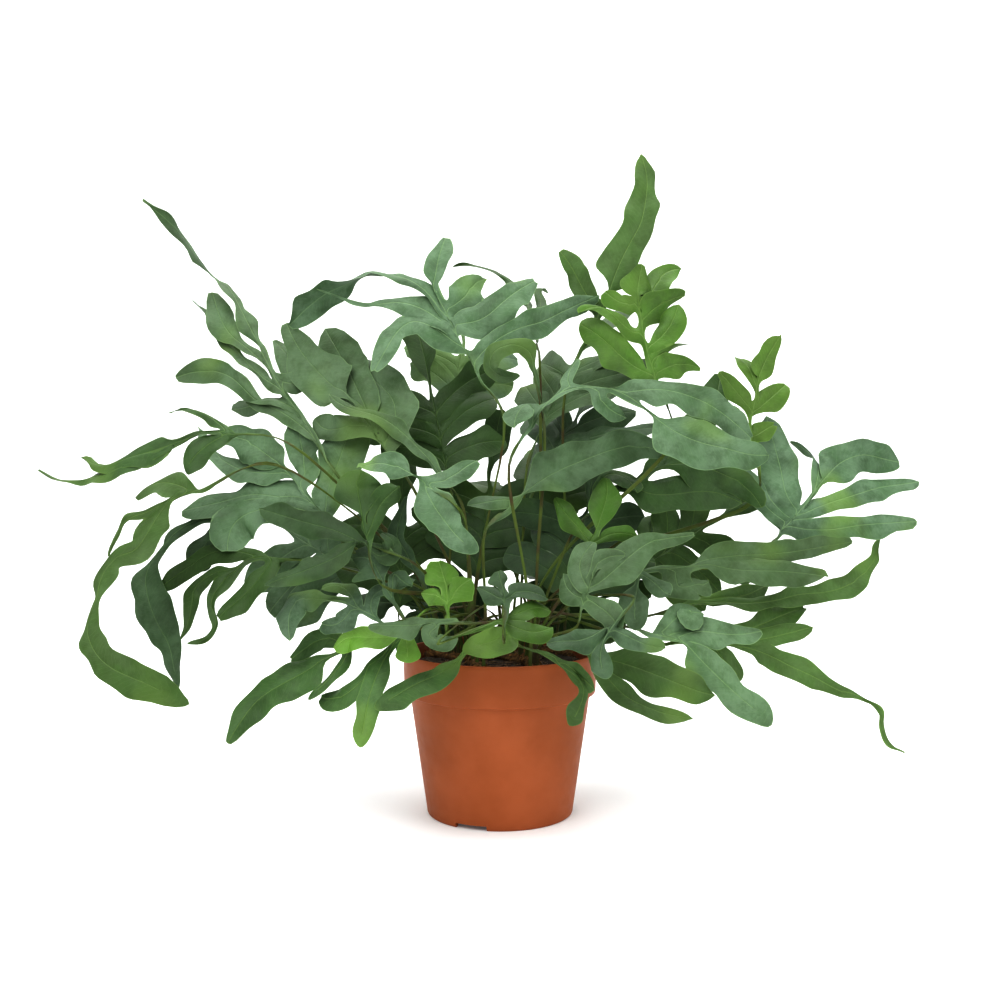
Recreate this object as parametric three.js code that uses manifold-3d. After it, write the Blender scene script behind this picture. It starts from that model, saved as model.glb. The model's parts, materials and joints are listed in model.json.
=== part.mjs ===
// Potted blue star fern: a plastic pot, its soil, the creeping rhizome and the fronds.
// Units are millimetres, +Z is up, and the origin is the middle of the pot's foot, on the floor.
import * as THREE from "three";
import { mergeVertices } from "three/addons/utils/BufferGeometryUtils.js";
import Module from "manifold-3d";

const wasm = await Module();
wasm.setup();

// Driving dimensions of the pot
const POT_HEIGHT = 160;
const RIM_RADIUS = 95;
const RIM_DEPTH = 41;
const SHOULDER_RADIUS = 88.5;
const FOOT_RADIUS = 71.5;
const WALL = 1.8;
const FLOOR_RISE = 5;
const POT_SIDES = 36;
const FOOT_NOTCHES = 3;
const FOOT_NOTCH_ANGLE = 26;
const FIRST_NOTCH_ANGLE = -113;
const DRAIN_HOLES = 6;
const DRAIN_HOLE_RADIUS = 6;
const DRAIN_RING_RADIUS = 48;

// Driving dimensions of what grows in it
const SOIL_HEIGHT = 149;
const FIT_GAP = 0.3;
const RHIZOME_RADIUS = 6.5;
const RHIZOME_ARMS = 8;
const RHIZOME_REACH = 76;
const BUD_SPACING = 8.4;
const STEM_RADIUS = 1.7;
const STEM_SEAT = 4;
const ROWS_PER_SPAN = 1.4;
const BLADE_THICKNESS = 1.4;
const WING = 3.2;
const FULLNESS = 1.13;
const CLEARANCE = 1.2;

// The fronds were drawn as they are seen from this point
const EYE = new THREE.Vector3(0, -1270, 370);

const UP = new THREE.Vector3(0, 0, 1);
const radians = THREE.MathUtils.degToRad;
const part = new THREE.Group();

// Seeded random numbers from 0 to 1
function randomSource(seed) {
  let state = seed >>> 0;
  return () => {
    state = (state + 0x6d2b79f5) >>> 0;
    let t = Math.imul(state ^ (state >>> 15), 1 | state);
    t = (t + Math.imul(t ^ (t >>> 7), 61 | t)) ^ t;
    return ((t ^ (t >>> 14)) >>> 0) / 4294967296;
  };
}

// Closed geometry to solid and back
function solidOf(geometry) {
  const bare = geometry.clone();
  bare.deleteAttribute("normal");
  bare.deleteAttribute("uv");
  const merged = mergeVertices(bare, 1e-4);
  return new wasm.Manifold(
    new wasm.Mesh({
      numProp: 3,
      vertProperties: Float32Array.from(merged.getAttribute("position").array),
      triVerts: Uint32Array.from(merged.index.array),
    }),
  );
}

function geometryOf(solid) {
  const mesh = solid.getMesh();
  const positions = new Float32Array(mesh.numVert * 3);
  for (let i = 0; i < mesh.numVert; i += 1) {
    positions.set(mesh.vertProperties.subarray(i * mesh.numProp, i * mesh.numProp + 3), i * 3);
  }
  const geometry = new THREE.BufferGeometry();
  geometry.setAttribute("position", new THREE.BufferAttribute(positions, 3));
  geometry.setIndex(new THREE.BufferAttribute(mesh.triVerts, 1));
  geometry.computeVertexNormals();
  return geometry;
}

function addPiece(name, geometry, material) {
  const mesh = new THREE.Mesh(geometry, material);
  mesh.name = name;
  part.add(mesh);
}

// Turned shapes: a profile of [radius, height] points about the Z axis
function turned(profile, sides) {
  const points = profile.map(([radius, height]) => new THREE.Vector2(radius, height));
  return new THREE.LatheGeometry(points, sides).rotateX(Math.PI / 2);
}

// Pot
const terracotta = new THREE.MeshStandardMaterial({ color: 0xa85a38, roughness: 0.5, metalness: 0 });

function wallRadius(height) {
  return THREE.MathUtils.mapLinear(height, 0, POT_HEIGHT - RIM_DEPTH, FOOT_RADIUS, SHOULDER_RADIUS);
}

function makePot() {
  const ledge = POT_HEIGHT - RIM_DEPTH;
  const profile = [
    [0, FLOOR_RISE],
    [FOOT_RADIUS - 6, FLOOR_RISE],
    [FOOT_RADIUS - 5, 0],
    [FOOT_RADIUS - 1, 0],
    [wallRadius(2) + 0.3, 2],
    [SHOULDER_RADIUS, ledge],
    [RIM_RADIUS - 1.2, ledge + 1],
    [RIM_RADIUS - 0.6, ledge + 3],
    [RIM_RADIUS, POT_HEIGHT - 1.5],
    [RIM_RADIUS - 0.8, POT_HEIGHT],
    [RIM_RADIUS - 2.4, POT_HEIGHT],
    [RIM_RADIUS - 3.2, POT_HEIGHT - 1.5],
    [SHOULDER_RADIUS - WALL, ledge + 2],
    [FOOT_RADIUS - WALL, FLOOR_RISE + WALL],
    [0, FLOOR_RISE + WALL],
  ];
  let pot = solidOf(turned(profile, POT_SIDES));
  for (let i = 0; i < FOOT_NOTCHES; i += 1) {
    const middle = radians(FIRST_NOTCH_ANGLE + (i * 360) / FOOT_NOTCHES);
    const half = radians(FOOT_NOTCH_ANGLE / 2);
    const sector = new THREE.Shape();
    sector.moveTo((FOOT_RADIUS - 9) * Math.cos(middle - half), (FOOT_RADIUS - 9) * Math.sin(middle - half));
    sector.lineTo((FOOT_RADIUS + 9) * Math.cos(middle - half), (FOOT_RADIUS + 9) * Math.sin(middle - half));
    sector.lineTo((FOOT_RADIUS + 9) * Math.cos(middle + half), (FOOT_RADIUS + 9) * Math.sin(middle + half));
    sector.lineTo((FOOT_RADIUS - 9) * Math.cos(middle + half), (FOOT_RADIUS - 9) * Math.sin(middle + half));
    const notch = new THREE.ExtrudeGeometry(sector, { depth: FLOOR_RISE + 1, bevelEnabled: false });
    pot = pot.subtract(solidOf(notch.translate(0, 0, -1)));
  }
  for (let i = 0; i < DRAIN_HOLES; i += 1) {
    const angle = (i * 2 * Math.PI) / DRAIN_HOLES;
    const hole = new THREE.CylinderGeometry(DRAIN_HOLE_RADIUS, DRAIN_HOLE_RADIUS, 10, 8);
    hole.rotateX(Math.PI / 2);
    hole.translate(DRAIN_RING_RADIUS * Math.cos(angle), DRAIN_RING_RADIUS * Math.sin(angle), FLOOR_RISE);
    pot = pot.subtract(solidOf(hole));
  }
  return pot;
}

// Soil: a plug with a slightly uneven top
function soilTop(x, y) {
  const swell = 1.6 * Math.sin(x * 0.09 + 1) * Math.cos(y * 0.11) + 1.1 * Math.sin(x * 0.05 - y * 0.07);
  return SOIL_HEIGHT + 3 * (1 - (x * x + y * y) / 8100) + swell;
}

function makeSoilPlug() {
  const ledge = POT_HEIGHT - RIM_DEPTH;
  const inner = SHOULDER_RADIUS - WALL - FIT_GAP - 0.2;
  const rimInner = RIM_RADIUS - 3.2;
  const topRadius = THREE.MathUtils.mapLinear(SOIL_HEIGHT - 4, ledge, POT_HEIGHT, inner, rimInner) - 0.8;
  const profile = [
    [0, FLOOR_RISE + WALL + FIT_GAP],
    [FOOT_RADIUS - WALL - 1.2, FLOOR_RISE + WALL + FIT_GAP],
    [inner - 0.3, ledge + 2],
    [topRadius, SOIL_HEIGHT - 4],
    [topRadius * 0.8, SOIL_HEIGHT],
    [0, SOIL_HEIGHT],
  ];
  const plug = turned(profile, 20);
  const position = plug.getAttribute("position");
  for (let i = 0; i < position.count; i += 1) {
    if (position.getZ(i) > SOIL_HEIGHT - 1) {
      position.setZ(i, soilTop(position.getX(i), position.getY(i)));
    }
  }
  return solidOf(plug);
}

// Rhizome: arms that creep out from the middle over the soil, with a bud every few millimetres
function armPoint(arm, reach) {
  const angle = ((arm + 0.35) * 2 * Math.PI) / RHIZOME_ARMS + 0.5 * Math.sin(reach * 0.04 + arm * 2.1);
  const x = reach * Math.cos(angle);
  const y = reach * Math.sin(angle);
  return new THREE.Vector3(x, y, soilTop(x, y) + RHIZOME_RADIUS * 0.25);
}

function armGeometry(arm, radius) {
  const rings = 5;
  const sides = 6;
  const positions = [];
  const faces = [];
  for (let ring = 0; ring <= rings; ring += 1) {
    const reach = 2 + (ring / rings) * (RHIZOME_REACH - 2);
    const here = armPoint(arm, reach);
    const ahead = armPoint(arm, reach + 1).sub(armPoint(arm, reach - 1)).normalize();
    const across = new THREE.Vector3().crossVectors(UP, ahead).normalize();
    const knuckle = ring === rings ? 0.55 : 1 + 0.12 * Math.sin(ring * 2.3 + arm);
    for (let side = 0; side < sides; side += 1) {
      const turn = (side * 2 * Math.PI) / sides;
      const point = here.clone().addScaledVector(across, radius * knuckle * Math.cos(turn));
      point.z += radius * knuckle * Math.sin(turn);
      positions.push(point);
    }
  }
  const stride = (ring, side) => ring * sides + (side % sides);
  for (let ring = 0; ring < rings; ring += 1) {
    for (let side = 0; side < sides; side += 1) {
      faces.push([stride(ring, side), stride(ring, side + 1), stride(ring + 1, side)]);
      faces.push([stride(ring, side + 1), stride(ring + 1, side + 1), stride(ring + 1, side)]);
    }
  }
  for (let side = 1; side < sides - 1; side += 1) {
    faces.push([stride(0, 0), stride(0, side + 1), stride(0, side)]);
    faces.push([stride(rings, 0), stride(rings, side), stride(rings, side + 1)]);
  }
  return indexedGeometry(positions, faces);
}

function indexedGeometry(points, faces) {
  const geometry = new THREE.BufferGeometry();
  const positions = points.flatMap((point) => [point.x, point.y, point.z]);
  geometry.setAttribute("position", new THREE.Float32BufferAttribute(positions, 3));
  geometry.setIndex(faces.flat());
  return geometry;
}

function makeRhizome(radius) {
  let joined = null;
  for (let arm = 0; arm < RHIZOME_ARMS; arm += 1) {
    const solid = solidOf(armGeometry(arm, radius));
    if (solid.volume() < 0) {
      throw new Error("arm faces point inwards");
    }
    joined = joined ? joined.add(solid) : solid;
  }
  return joined;
}

function budSites() {
  const sites = [];
  for (let arm = 0; arm < RHIZOME_ARMS; arm += 1) {
    for (let reach = 12 + (arm % 2) * 4; reach < RHIZOME_REACH - 3; reach += BUD_SPACING) {
      const middle = armPoint(arm, reach);
      sites.push({ point: middle.setZ(middle.z + RHIZOME_RADIUS - STEM_SEAT), used: false });
    }
  }
  return sites;
}

// A point that the eye sees at a place in the plane through the pot's axis, forward of that plane
function seen(across, height, forward) {
  const share = 1 - forward / -EYE.y;
  return new THREE.Vector3(across * share, -forward, EYE.z + (height - EYE.z) * share);
}

// Unit vector that a blade faces: azimuth 0 is towards the eye, 90 to the right
function facing(azimuth, elevation) {
  const a = radians(azimuth);
  const e = radians(elevation);
  return new THREE.Vector3(Math.sin(a) * Math.cos(e), -Math.cos(a) * Math.cos(e), Math.sin(e));
}

// One frond as a closed mesh. Its frame has rachis nodes with a margin point on each side, and lobes
// that leave between two nodes. Both faces of the blade share the margins and are split alike.
function frondGeometry(spec) {
  const points = [];
  const faces = [];
  const add = (point) => points.push(point) - 1;
  const face = (...corners) => faces.push(corners);
  const rachis = spec.rachis;
  const stem = new THREE.CatmullRomCurve3([...spec.stem, rachis[0]], false, "centripetal");
  const spine = new THREE.CatmullRomCurve3([...spec.stem, ...rachis], false, "centripetal");
  const stemSteps = spec.stemSteps;

  function normalAt(tangent, turn) {
    const normal = spec.face.clone().addScaledVector(tangent, -spec.face.dot(tangent));
    if (normal.lengthSq() < 1e-4) {
      normal.copy(UP).addScaledVector(tangent, -UP.dot(tangent));
    }
    return normal.normalize().applyAxisAngle(tangent, radians(turn));
  }

  // Stem rows: left, right and keel
  let row = null;
  for (let step = 0; step < stemSteps; step += 1) {
    const t = step / stemSteps;
    const here = stem.getPoint(t);
    const tangent = stem.getTangent(t);
    const normal = normalAt(tangent, 0);
    const side = new THREE.Vector3().crossVectors(normal, tangent);
    const size = STEM_RADIUS * (1 - 0.25 * t);
    const next = [
      add(here.clone().addScaledVector(side, size).addScaledVector(normal, size * 0.5)),
      add(here.clone().addScaledVector(side, -size).addScaledVector(normal, size * 0.5)),
      add(here.clone().addScaledVector(normal, -size * 0.7)),
    ];
    if (!row) {
      face(next[1], next[0], next[2]);
    } else {
      face(row[0], row[1], next[1]);
      face(row[0], next[1], next[0]);
      face(row[2], row[0], next[0]);
      face(row[2], next[0], next[2]);
      face(row[1], row[2], next[2]);
      face(row[1], next[2], next[1]);
    }
    row = next;
  }

  function middles(here, normal, thickness) {
    return [
      add(here.clone().addScaledVector(normal, thickness / 2)),
      add(here.clone().addScaledVector(normal, -thickness / 2)),
    ];
  }

  // Rachis nodes: left margin, right margin, top and bottom middle
  const nodes = rachis.map((here, k) => {
    const t = (spec.stem.length + k) / (spec.stem.length + rachis.length - 1);
    const tangent = spine.getTangent(Math.min(t, 1));
    const normal = normalAt(tangent, 0);
    const side = new THREE.Vector3().crossVectors(normal, tangent);
    const wing = k === 0 ? WING * 0.8 : WING;
    const [top, bottom] = middles(here, normal, BLADE_THICKNESS + 0.6);
    return {
      left: add(here.clone().addScaledVector(side, wing)),
      right: add(here.clone().addScaledVector(side, -wing)),
      top,
      bottom,
      normal,
      tangent,
    };
  });
  const first = nodes[0];
  face(row[0], row[1], first.top);
  face(row[0], first.top, first.left);
  face(row[1], first.right, first.top);
  face(row[2], row[0], first.left);
  face(row[2], first.left, first.bottom);
  face(row[1], row[2], first.bottom);
  face(row[1], first.bottom, first.right);

  // Rows of a lobe from its base row to its tip: [left margin, right margin, top, bottom]
  function growLobe(base, start, lobe) {
    const line = new THREE.CatmullRomCurve3([start, ...lobe.line], false, "centripetal");
    const spans = lobe.line.length;
    const rows = Math.max(2, Math.round(spans * ROWS_PER_SPAN));
    let last = base;
    for (let step = 1; step < rows; step += 1) {
      const t = step / rows;
      const at = t * spans - 1;
      const here = line.getPoint(t);
      const tangent = line.getTangent(t);
      const low = Math.max(0, Math.floor(at));
      const high = Math.min(spans - 1, low + 1);
      const mix = Math.max(0, at) - low;
      const firstWidth = Math.max(lobe.widths[0], 2);
      const rounded = at > 0 && lobe.widths[high] === 0;
      const between = rounded
        ? lobe.widths[low] * Math.sqrt(1 - mix * mix)
        : THREE.MathUtils.lerp(lobe.widths[low], lobe.widths[high], mix);
      const width = at < 0 ? firstWidth : between;
      const waved = width * FULLNESS * (1 + 0.05 * Math.sin(step * 2.1 + lobe.phase));
      const normal = normalAt(tangent, lobe.turn[0] + (lobe.turn[1] - lobe.turn[0]) * t);
      const side = new THREE.Vector3().crossVectors(normal, tangent);
      const fold = waved * (0.07 + 0.06 * Math.sin(step * 1.7 + lobe.phase));
      const otherFold = waved * (0.07 + 0.06 * Math.sin(step * 1.9 + lobe.phase + 2));
      const half = Math.max(waved / 2, 0.9);
      const thickness = Math.min(BLADE_THICKNESS, 0.7 + half * 0.1);
      const [top, bottom] = middles(here, normal, thickness);
      const next = {
        left: add(here.clone().addScaledVector(side, half).addScaledVector(normal, -fold)),
        right: add(here.clone().addScaledVector(side, -half).addScaledVector(normal, -otherFold)),
        top,
        bottom,
      };
      joinRows(last, next);
      last = next;
    }
    const tip = add(line.getPoint(1));
    face(last.left, last.top, tip);
    face(last.top, last.right, tip);
    face(last.left, tip, last.bottom);
    face(last.bottom, tip, last.right);
  }

  function joinRows(a, b) {
    face(a.left, a.top, b.left);
    face(a.top, b.top, b.left);
    face(a.top, a.right, b.right);
    face(a.top, b.right, b.top);
    face(a.left, b.left, a.bottom);
    face(a.bottom, b.left, b.bottom);
    face(a.bottom, b.right, a.right);
    face(a.bottom, b.bottom, b.right);
  }

  for (let k = 0; k + 1 < nodes.length; k += 1) {
    const a = nodes[k];
    const b = nodes[k + 1];
    const middle = rachis[k].clone().lerp(rachis[k + 1], 0.5);
    for (const hand of ["left", "right"]) {
      const lobe = spec.lobes.find((one) => one.at === k && one.hand === hand);
      const mirror = (p, q, r) => (hand === "left" ? face(p, q, r) : face(p, r, q));
      if (!lobe) {
        mirror(a[hand], a.top, b[hand]);
        mirror(a.top, b.top, b[hand]);
        mirror(a[hand], b[hand], a.bottom);
        mirror(a.bottom, b[hand], b.bottom);
        continue;
      }
      const start = points[a[hand]].clone().lerp(points[b[hand]], 0.5);
      start.addScaledVector(lobe.line[0].clone().sub(middle).normalize(), 1.5);
      const [top, bottom] = middles(start, a.normal, BLADE_THICKNESS + 0.3);
      mirror(a[hand], a.top, top);
      mirror(a.top, b.top, top);
      mirror(b.top, b[hand], top);
      mirror(a[hand], bottom, a.bottom);
      mirror(a.bottom, bottom, b.bottom);
      mirror(b.bottom, bottom, b[hand]);
      const base = hand === "left"
        ? { left: a.left, right: b.left, top, bottom }
        : { left: b.right, right: a.right, top, bottom };
      growLobe(base, start, lobe);
    }
  }
  growLobe(nodes[nodes.length - 1], rachis[rachis.length - 1], spec.tip);
  return indexedGeometry(points, faces);
}

// A lobe: the rachis interval and the side it leaves from, its midrib as seen from the eye, its widths
// at those points, how far it is turned about its midrib at its base and tip, and how far forward the
// tip comes
function lobe(at, hand, line, widths, turn = [0, 0], lift = 0) {
  return { at, hand, line, widths, turn, lift };
}

function tip(line, widths, turn = [0, 0], lift = 0) {
  return { line, widths, turn, lift };
}

const BLUE = "blue";
const GREEN = "green";
const LIME = "lime";

// The fronds that show from the front, drawn as the eye sees them: across and height in the plane
// through the pot's axis, and the depth forward of it at the blade's foot
const seenFronds = [
  {
    name: "frond_arching_light", tone: BLUE, faces: [4, 40], depth: 106,
    rachis: [[-66, 318], [-76, 326], [-88, 334]],
    lobes: [
      lobe(0, "right", [[-50, 328], [-37, 338], [-22, 347]], [20, 16, 0], [0, 0], 0),
      lobe(0, "left", [[-66, 304], [-55, 288], [-42, 272], [-23, 255]], [27, 27, 20, 0], [0, 20], 10),
    ],
    tip: tip([[-104, 342], [-122, 343], [-141, 339]], [24, 18, 0], [0, 0], 8),
  },
  {
    name: "frond_far_upper_left", tone: BLUE, faces: [-15, 25], depth: 40,
    rachis: [[-180, 366], [-196, 392], [-209, 410], [-222, 432], [-232, 452], [-238, 466]],
    lobes: [
      lobe(
        0,
        "left",
        [[-215, 395], [-236, 404], [-250, 417], [-268, 431], [-292, 434], [-317, 427]],
        [13, 12, 13, 22, 20, 0],
        [0, -20],
        14,
      ),
      lobe(1, "left", [[-228, 408], [-243, 400], [-263, 396]], [22, 24, 0], [10, 150], -26),
      lobe(
        2,
        "left",
        [[-232, 428], [-247, 442], [-258, 455], [-272, 472], [-286, 489], [-303, 507]],
        [9, 8, 12, 16, 5, 0],
        [0, 60],
        -14,
      ),
      lobe(
        3,
        "left",
        [[-245, 455], [-257, 464], [-270, 480], [-280, 511]],
        [8, 12, 28, 0],
        [0, 25],
        10,
      ),
      lobe(2, "right", [[-198, 424], [-205, 445], [-221, 464]], [20, 20, 0], [0, 40], -8),
    ],
    tip: tip(
      [
        [-247, 483], [-254, 497], [-266, 517], [-280, 526], [-303, 557], [-318, 576], [-333, 588],
        [-347, 598],
      ],
      [20, 6, 15, 4, 34, 27, 3, 0],
      [0, 165],
    ),
  },
  {
    name: "frond_left_shoulder", tone: BLUE, faces: [-5, 30], depth: 60,
    rachis: [[-108, 352], [-122, 372], [-136, 392], [-150, 412]],
    lobes: [
      lobe(
        0,
        "right",
        [[-100, 396], [-120, 422], [-138, 438], [-152, 452]],
        [34, 44, 34, 0],
        [0, 20],
        -16,
      ),
      lobe(1, "left", [[-150, 380], [-168, 376], [-182, 388]], [20, 22, 0], [0, -30], -10),
      lobe(1, "right", [[-140, 418], [-154, 446], [-171, 476]], [30, 38, 0], [0, -20], -20),
    ],
    tip: tip([[-164, 420], [-182, 438], [-198, 459], [-208, 481]], [44, 44, 24, 0], [0, -10], 6),
  },
  {
    name: "frond_narrow_folded", tone: BLUE, faces: [0, 20], depth: 78,
    rachis: [[-60, 335], [-68, 346]],
    lobes: [],
    tip: tip(
      [[-80, 359], [-97, 375], [-118, 389], [-142, 396], [-158, 402], [-167, 412]],
      [10, 15, 16, 15, 10, 0],
      [0, 30],
    ),
  },
  {
    name: "frond_left_palmate", tone: BLUE, faces: [-12, 28], depth: 84,
    rachis: [[-168, 286], [-180, 301], [-192, 315], [-204, 330], [-216, 343]],
    lobes: [
      lobe(
        0,
        "right",
        [[-168, 318], [-158, 345], [-149, 370], [-142, 389]],
        [26, 36, 38, 16],
        [0, 15],
        4,
      ),
      lobe(2, "right", [[-190, 338], [-195, 362], [-196, 389]], [24, 28, 30], [0, 10], 8),
      lobe(
        1,
        "left",
        [[-213, 310], [-243, 313], [-275, 305], [-313, 297]],
        [32, 38, 32, 0],
        [0, 25],
        8,
      ),
      lobe(
        0,
        "left",
        [[-206, 301], [-240, 297], [-262, 283], [-268, 257]],
        [16, 24, 44, 12],
        [0, -15],
        16,
      ),
      lobe(
        3,
        "left",
        [[-232, 334], [-256, 338], [-280, 354], [-296, 381]],
        [22, 22, 16, 0],
        [0, 60],
        -10,
      ),
    ],
    tip: tip([[-228, 352], [-243, 362], [-260, 370], [-274, 374]], [30, 36, 24, 0], [0, 10]),
  },
  {
    name: "frond_top_centre", tone: BLUE, faces: [4, 22], depth: 20,
    rachis: [[-22, 432], [-33, 452], [-42, 469], [-50, 485], [-58, 500], [-65, 514]],
    lobes: [
      lobe(
        0,
        "right",
        [[-6, 462], [18, 475], [42, 482], [62, 492], [98, 508]],
        [20, 20, 24, 20, 0],
        [0, 15],
        10,
      ),
      lobe(2, "right", [[-18, 484], [0, 498], [18, 512], [34, 521]], [34, 34, 24, 0], [0, -10], -6),
      lobe(3, "right", [[-34, 506], [-26, 518], [-12, 523]], [28, 20, 0], [0, 30], -10),
      lobe(
        1,
        "left",
        [[-62, 474], [-82, 482], [-98, 474], [-110, 456], [-123, 434]],
        [26, 26, 22, 18, 0],
        [0, 15],
        24,
      ),
      lobe(
        2,
        "left",
        [[-76, 494], [-98, 500], [-122, 498], [-145, 502], [-181, 515]],
        [22, 20, 12, 6, 0],
        [0, 40],
        8,
      ),
      lobe(
        3,
        "left",
        [[-82, 519], [-105, 526], [-128, 530], [-146, 520], [-166, 511], [-186, 497], [-206, 477]],
        [12, 14, 22, 34, 30, 27, 0],
        [0, 150],
        -12,
      ),
    ],
    tip: tip([[-62, 531], [-59, 545], [-53, 563]], [18, 20, 18], [0, 0]),
  },
  {
    name: "frond_thin_behind_top", tone: GREEN, faces: [0, 60], depth: -50,
    rachis: [[34, 470], [32, 482], [28, 494]],
    lobes: [lobe(0, "right", [[40, 500], [42, 514], [50, 508]], [9, 7, 3], [0, 0], 0)],
    tip: tip([[22, 508], [10, 521], [-10, 532], [-30, 536], [-47, 534]], [10, 9, 8, 6, 0], [0, 0]),
  },
  {
    name: "frond_tall", tone: GREEN, faces: [6, 12], depth: -28,
    rachis: [[88, 470], [95, 486], [102, 500], [107, 514]],
    lobes: [
      lobe(1, "left", [[84, 508], [75, 524], [67, 538], [58, 550]], [22, 22, 17, 0], [0, -15], 10),
    ],
    tip: tip(
      [[113, 530], [123, 552], [136, 576], [141, 600], [142, 620], [136, 644]],
      [32, 30, 26, 27, 20, 0],
      [0, 10],
    ),
  },
  {
    name: "frond_lime_upper_right", tone: LIME, faces: [10, 18], depth: 22,
    rachis: [[152, 424], [148, 438], [144, 451], [141, 464], [138, 478], [136, 492], [134, 506]],
    lobes: [
      lobe(0, "right", [[164, 438], [180, 441], [196, 436]], [24, 16, 8], [0, 30], -4),
      lobe(1, "right", [[160, 452], [172, 458], [185, 460]], [12, 12, 0], [0, 120], -12),
      lobe(2, "right", [[158, 468], [168, 482], [174, 499]], [22, 20, 0], [0, -20], 8),
      lobe(4, "right", [[152, 496], [166, 504], [180, 506]], [26, 20, 5], [0, 55], 2),
      lobe(5, "right", [[150, 513], [160, 528], [177, 533]], [20, 22, 3], [0, -30], -12),
      lobe(0, "left", [[128, 440], [110, 456], [94, 470], [77, 480]], [24, 30, 22, 0], [0, -40], -6),
      lobe(3, "left", [[126, 473], [112, 486], [95, 496], [76, 489]], [13, 14, 13, 5], [0, 30], 12),
      lobe(5, "left", [[124, 498], [112, 503], [102, 511]], [18, 14, 0], [0, 0], 4),
    ],
    tip: tip([[134, 516], [138, 538]], [30, 0], [0, 10]),
  },
  {
    name: "frond_curled_cup", tone: BLUE, faces: [0, -8], depth: 58,
    rachis: [[34, 432], [32, 444]],
    lobes: [],
    tip: tip(
      [[25, 456], [8, 459], [-7, 450], [-8, 434], [8, 428], [20, 429]],
      [12, 13, 14, 17, 18, 8],
      [0, 60],
      20,
    ),
  },
  {
    name: "frond_right_broad", tone: BLUE, faces: [6, 34], depth: 62,
    rachis: [[30, 378], [42, 398], [58, 412], [82, 418], [110, 416], [133, 404], [152, 388]],
    lobes: [
      lobe(0, "left", [[27, 402], [17, 392], [14, 378]], [14, 26, 10], [0, 20], 12),
      lobe(2, "left", [[66, 428], [76, 446]], [13, 6], [0, -40], 4),
      lobe(
        4,
        "left",
        [[150, 416], [176, 412], [204, 401], [228, 384], [246, 368]],
        [26, 30, 30, 22, 0],
        [0, 10],
        -8,
      ),
      lobe(3, "right", [[100, 403], [112, 394], [124, 388]], [16, 16, 0], [0, 60], -12),
    ],
    tip: tip(
      [[172, 374], [196, 364], [222, 358], [245, 352], [264, 352]],
      [44, 42, 36, 26, 10],
      [0, 15],
    ),
  },
  {
    name: "frond_right_under_broad", tone: GREEN, faces: [12, 30], depth: 34,
    rachis: [[96, 300], [116, 318], [140, 332], [166, 342]],
    lobes: [
      lobe(0, "left", [[102, 332], [122, 330], [135, 314]], [14, 22, 10], [0, -20], 14),
      lobe(1, "right", [[146, 314], [176, 314], [208, 316], [238, 304]], [28, 34, 30, 0], [0, 20], -6),
      lobe(2, "left", [[176, 366], [206, 396], [215, 432]], [24, 30, 0], [0, 0], -14),
    ],
    tip: tip([[192, 342], [216, 334], [240, 322], [257, 300]], [38, 34, 24, 0], [0, 30]),
  },
  {
    name: "frond_long_centre", tone: BLUE, faces: [4, 30], depth: 88,
    rachis: [[8, 300], [18, 310], [30, 319]],
    lobes: [lobe(0, "left", [[2, 308], [-14, 305], [-33, 302]], [12, 12, 0], [0, 30], 6)],
    tip: tip(
      [[52, 334], [80, 346], [106, 356], [132, 361], [152, 357], [168, 351]],
      [38, 38, 34, 26, 14, 0],
      [0, 25],
    ),
  },
  {
    name: "frond_lime_three_lobed", tone: LIME, faces: [0, 25], depth: 72,
    rachis: [[87, 262], [91, 272], [96, 283]],
    lobes: [
      lobe(0, "left", [[74, 284], [62, 297], [53, 310]], [15, 15, 0], [0, -15], 6),
      lobe(0, "right", [[108, 274], [122, 275], [136, 272]], [14, 13, 0], [0, 20], 4),
    ],
    tip: tip([[101, 298], [105, 314], [104, 330]], [20, 26, 18], [0, 10]),
  },
  {
    name: "frond_centre_twisted", tone: BLUE, faces: [-4, 30], depth: 102,
    rachis: [[82, 204], [86, 217], [90, 230], [94, 242]],
    lobes: [
      lobe(0, "right", [[104, 198], [114, 187], [120, 173]], [18, 20, 0], [0, 20], 8),
      lobe(
        1,
        "right",
        [[112, 238], [134, 258], [154, 269], [174, 271], [191, 274]],
        [32, 26, 17, 9, 0],
        [0, 10],
        -4,
      ),
      lobe(0, "left", [[74, 214], [66, 222], [62, 236]], [14, 16, 0], [0, -30], -12),
      lobe(1, "left", [[78, 244], [84, 256], [92, 267]], [22, 22, 4], [0, -20], -10),
    ],
    tip: tip([[102, 250], [112, 253], [123, 253]], [16, 9, 0], [0, 50], 6),
  },
  {
    name: "frond_right_rounded", tone: BLUE, faces: [14, 28], depth: 96,
    rachis: [[134, 240], [136, 230], [135, 221]],
    lobes: [lobe(0, "left", [[152, 226], [160, 218], [168, 214]], [14, 18, 10], [0, 10], 4)],
    tip: tip([[133, 208], [133, 194], [134, 180]], [25, 27, 13], [0, 0]),
  },
  {
    name: "frond_right_long", tone: BLUE, faces: [10, 30], depth: 60,
    rachis: [[140, 238], [160, 240], [182, 242], [204, 244]],
    lobes: [
      lobe(
        2,
        "left",
        [[222, 252], [254, 254], [288, 257], [318, 262], [347, 267]],
        [22, 24, 20, 16, 0],
        [0, 20],
        -4,
      ),
      lobe(1, "right", [[178, 220], [196, 226], [206, 214]], [26, 20, 0], [0, 0], 6),
    ],
    tip: tip([[234, 239], [264, 238], [294, 236], [324, 232]], [26, 26, 20, 0], [0, 0], 6),
  },
  {
    name: "frond_right_palmate", tone: BLUE, faces: [14, 28], depth: -10,
    rachis: [[276, 278], [288, 290], [298, 302], [307, 315], [317, 328]],
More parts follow.
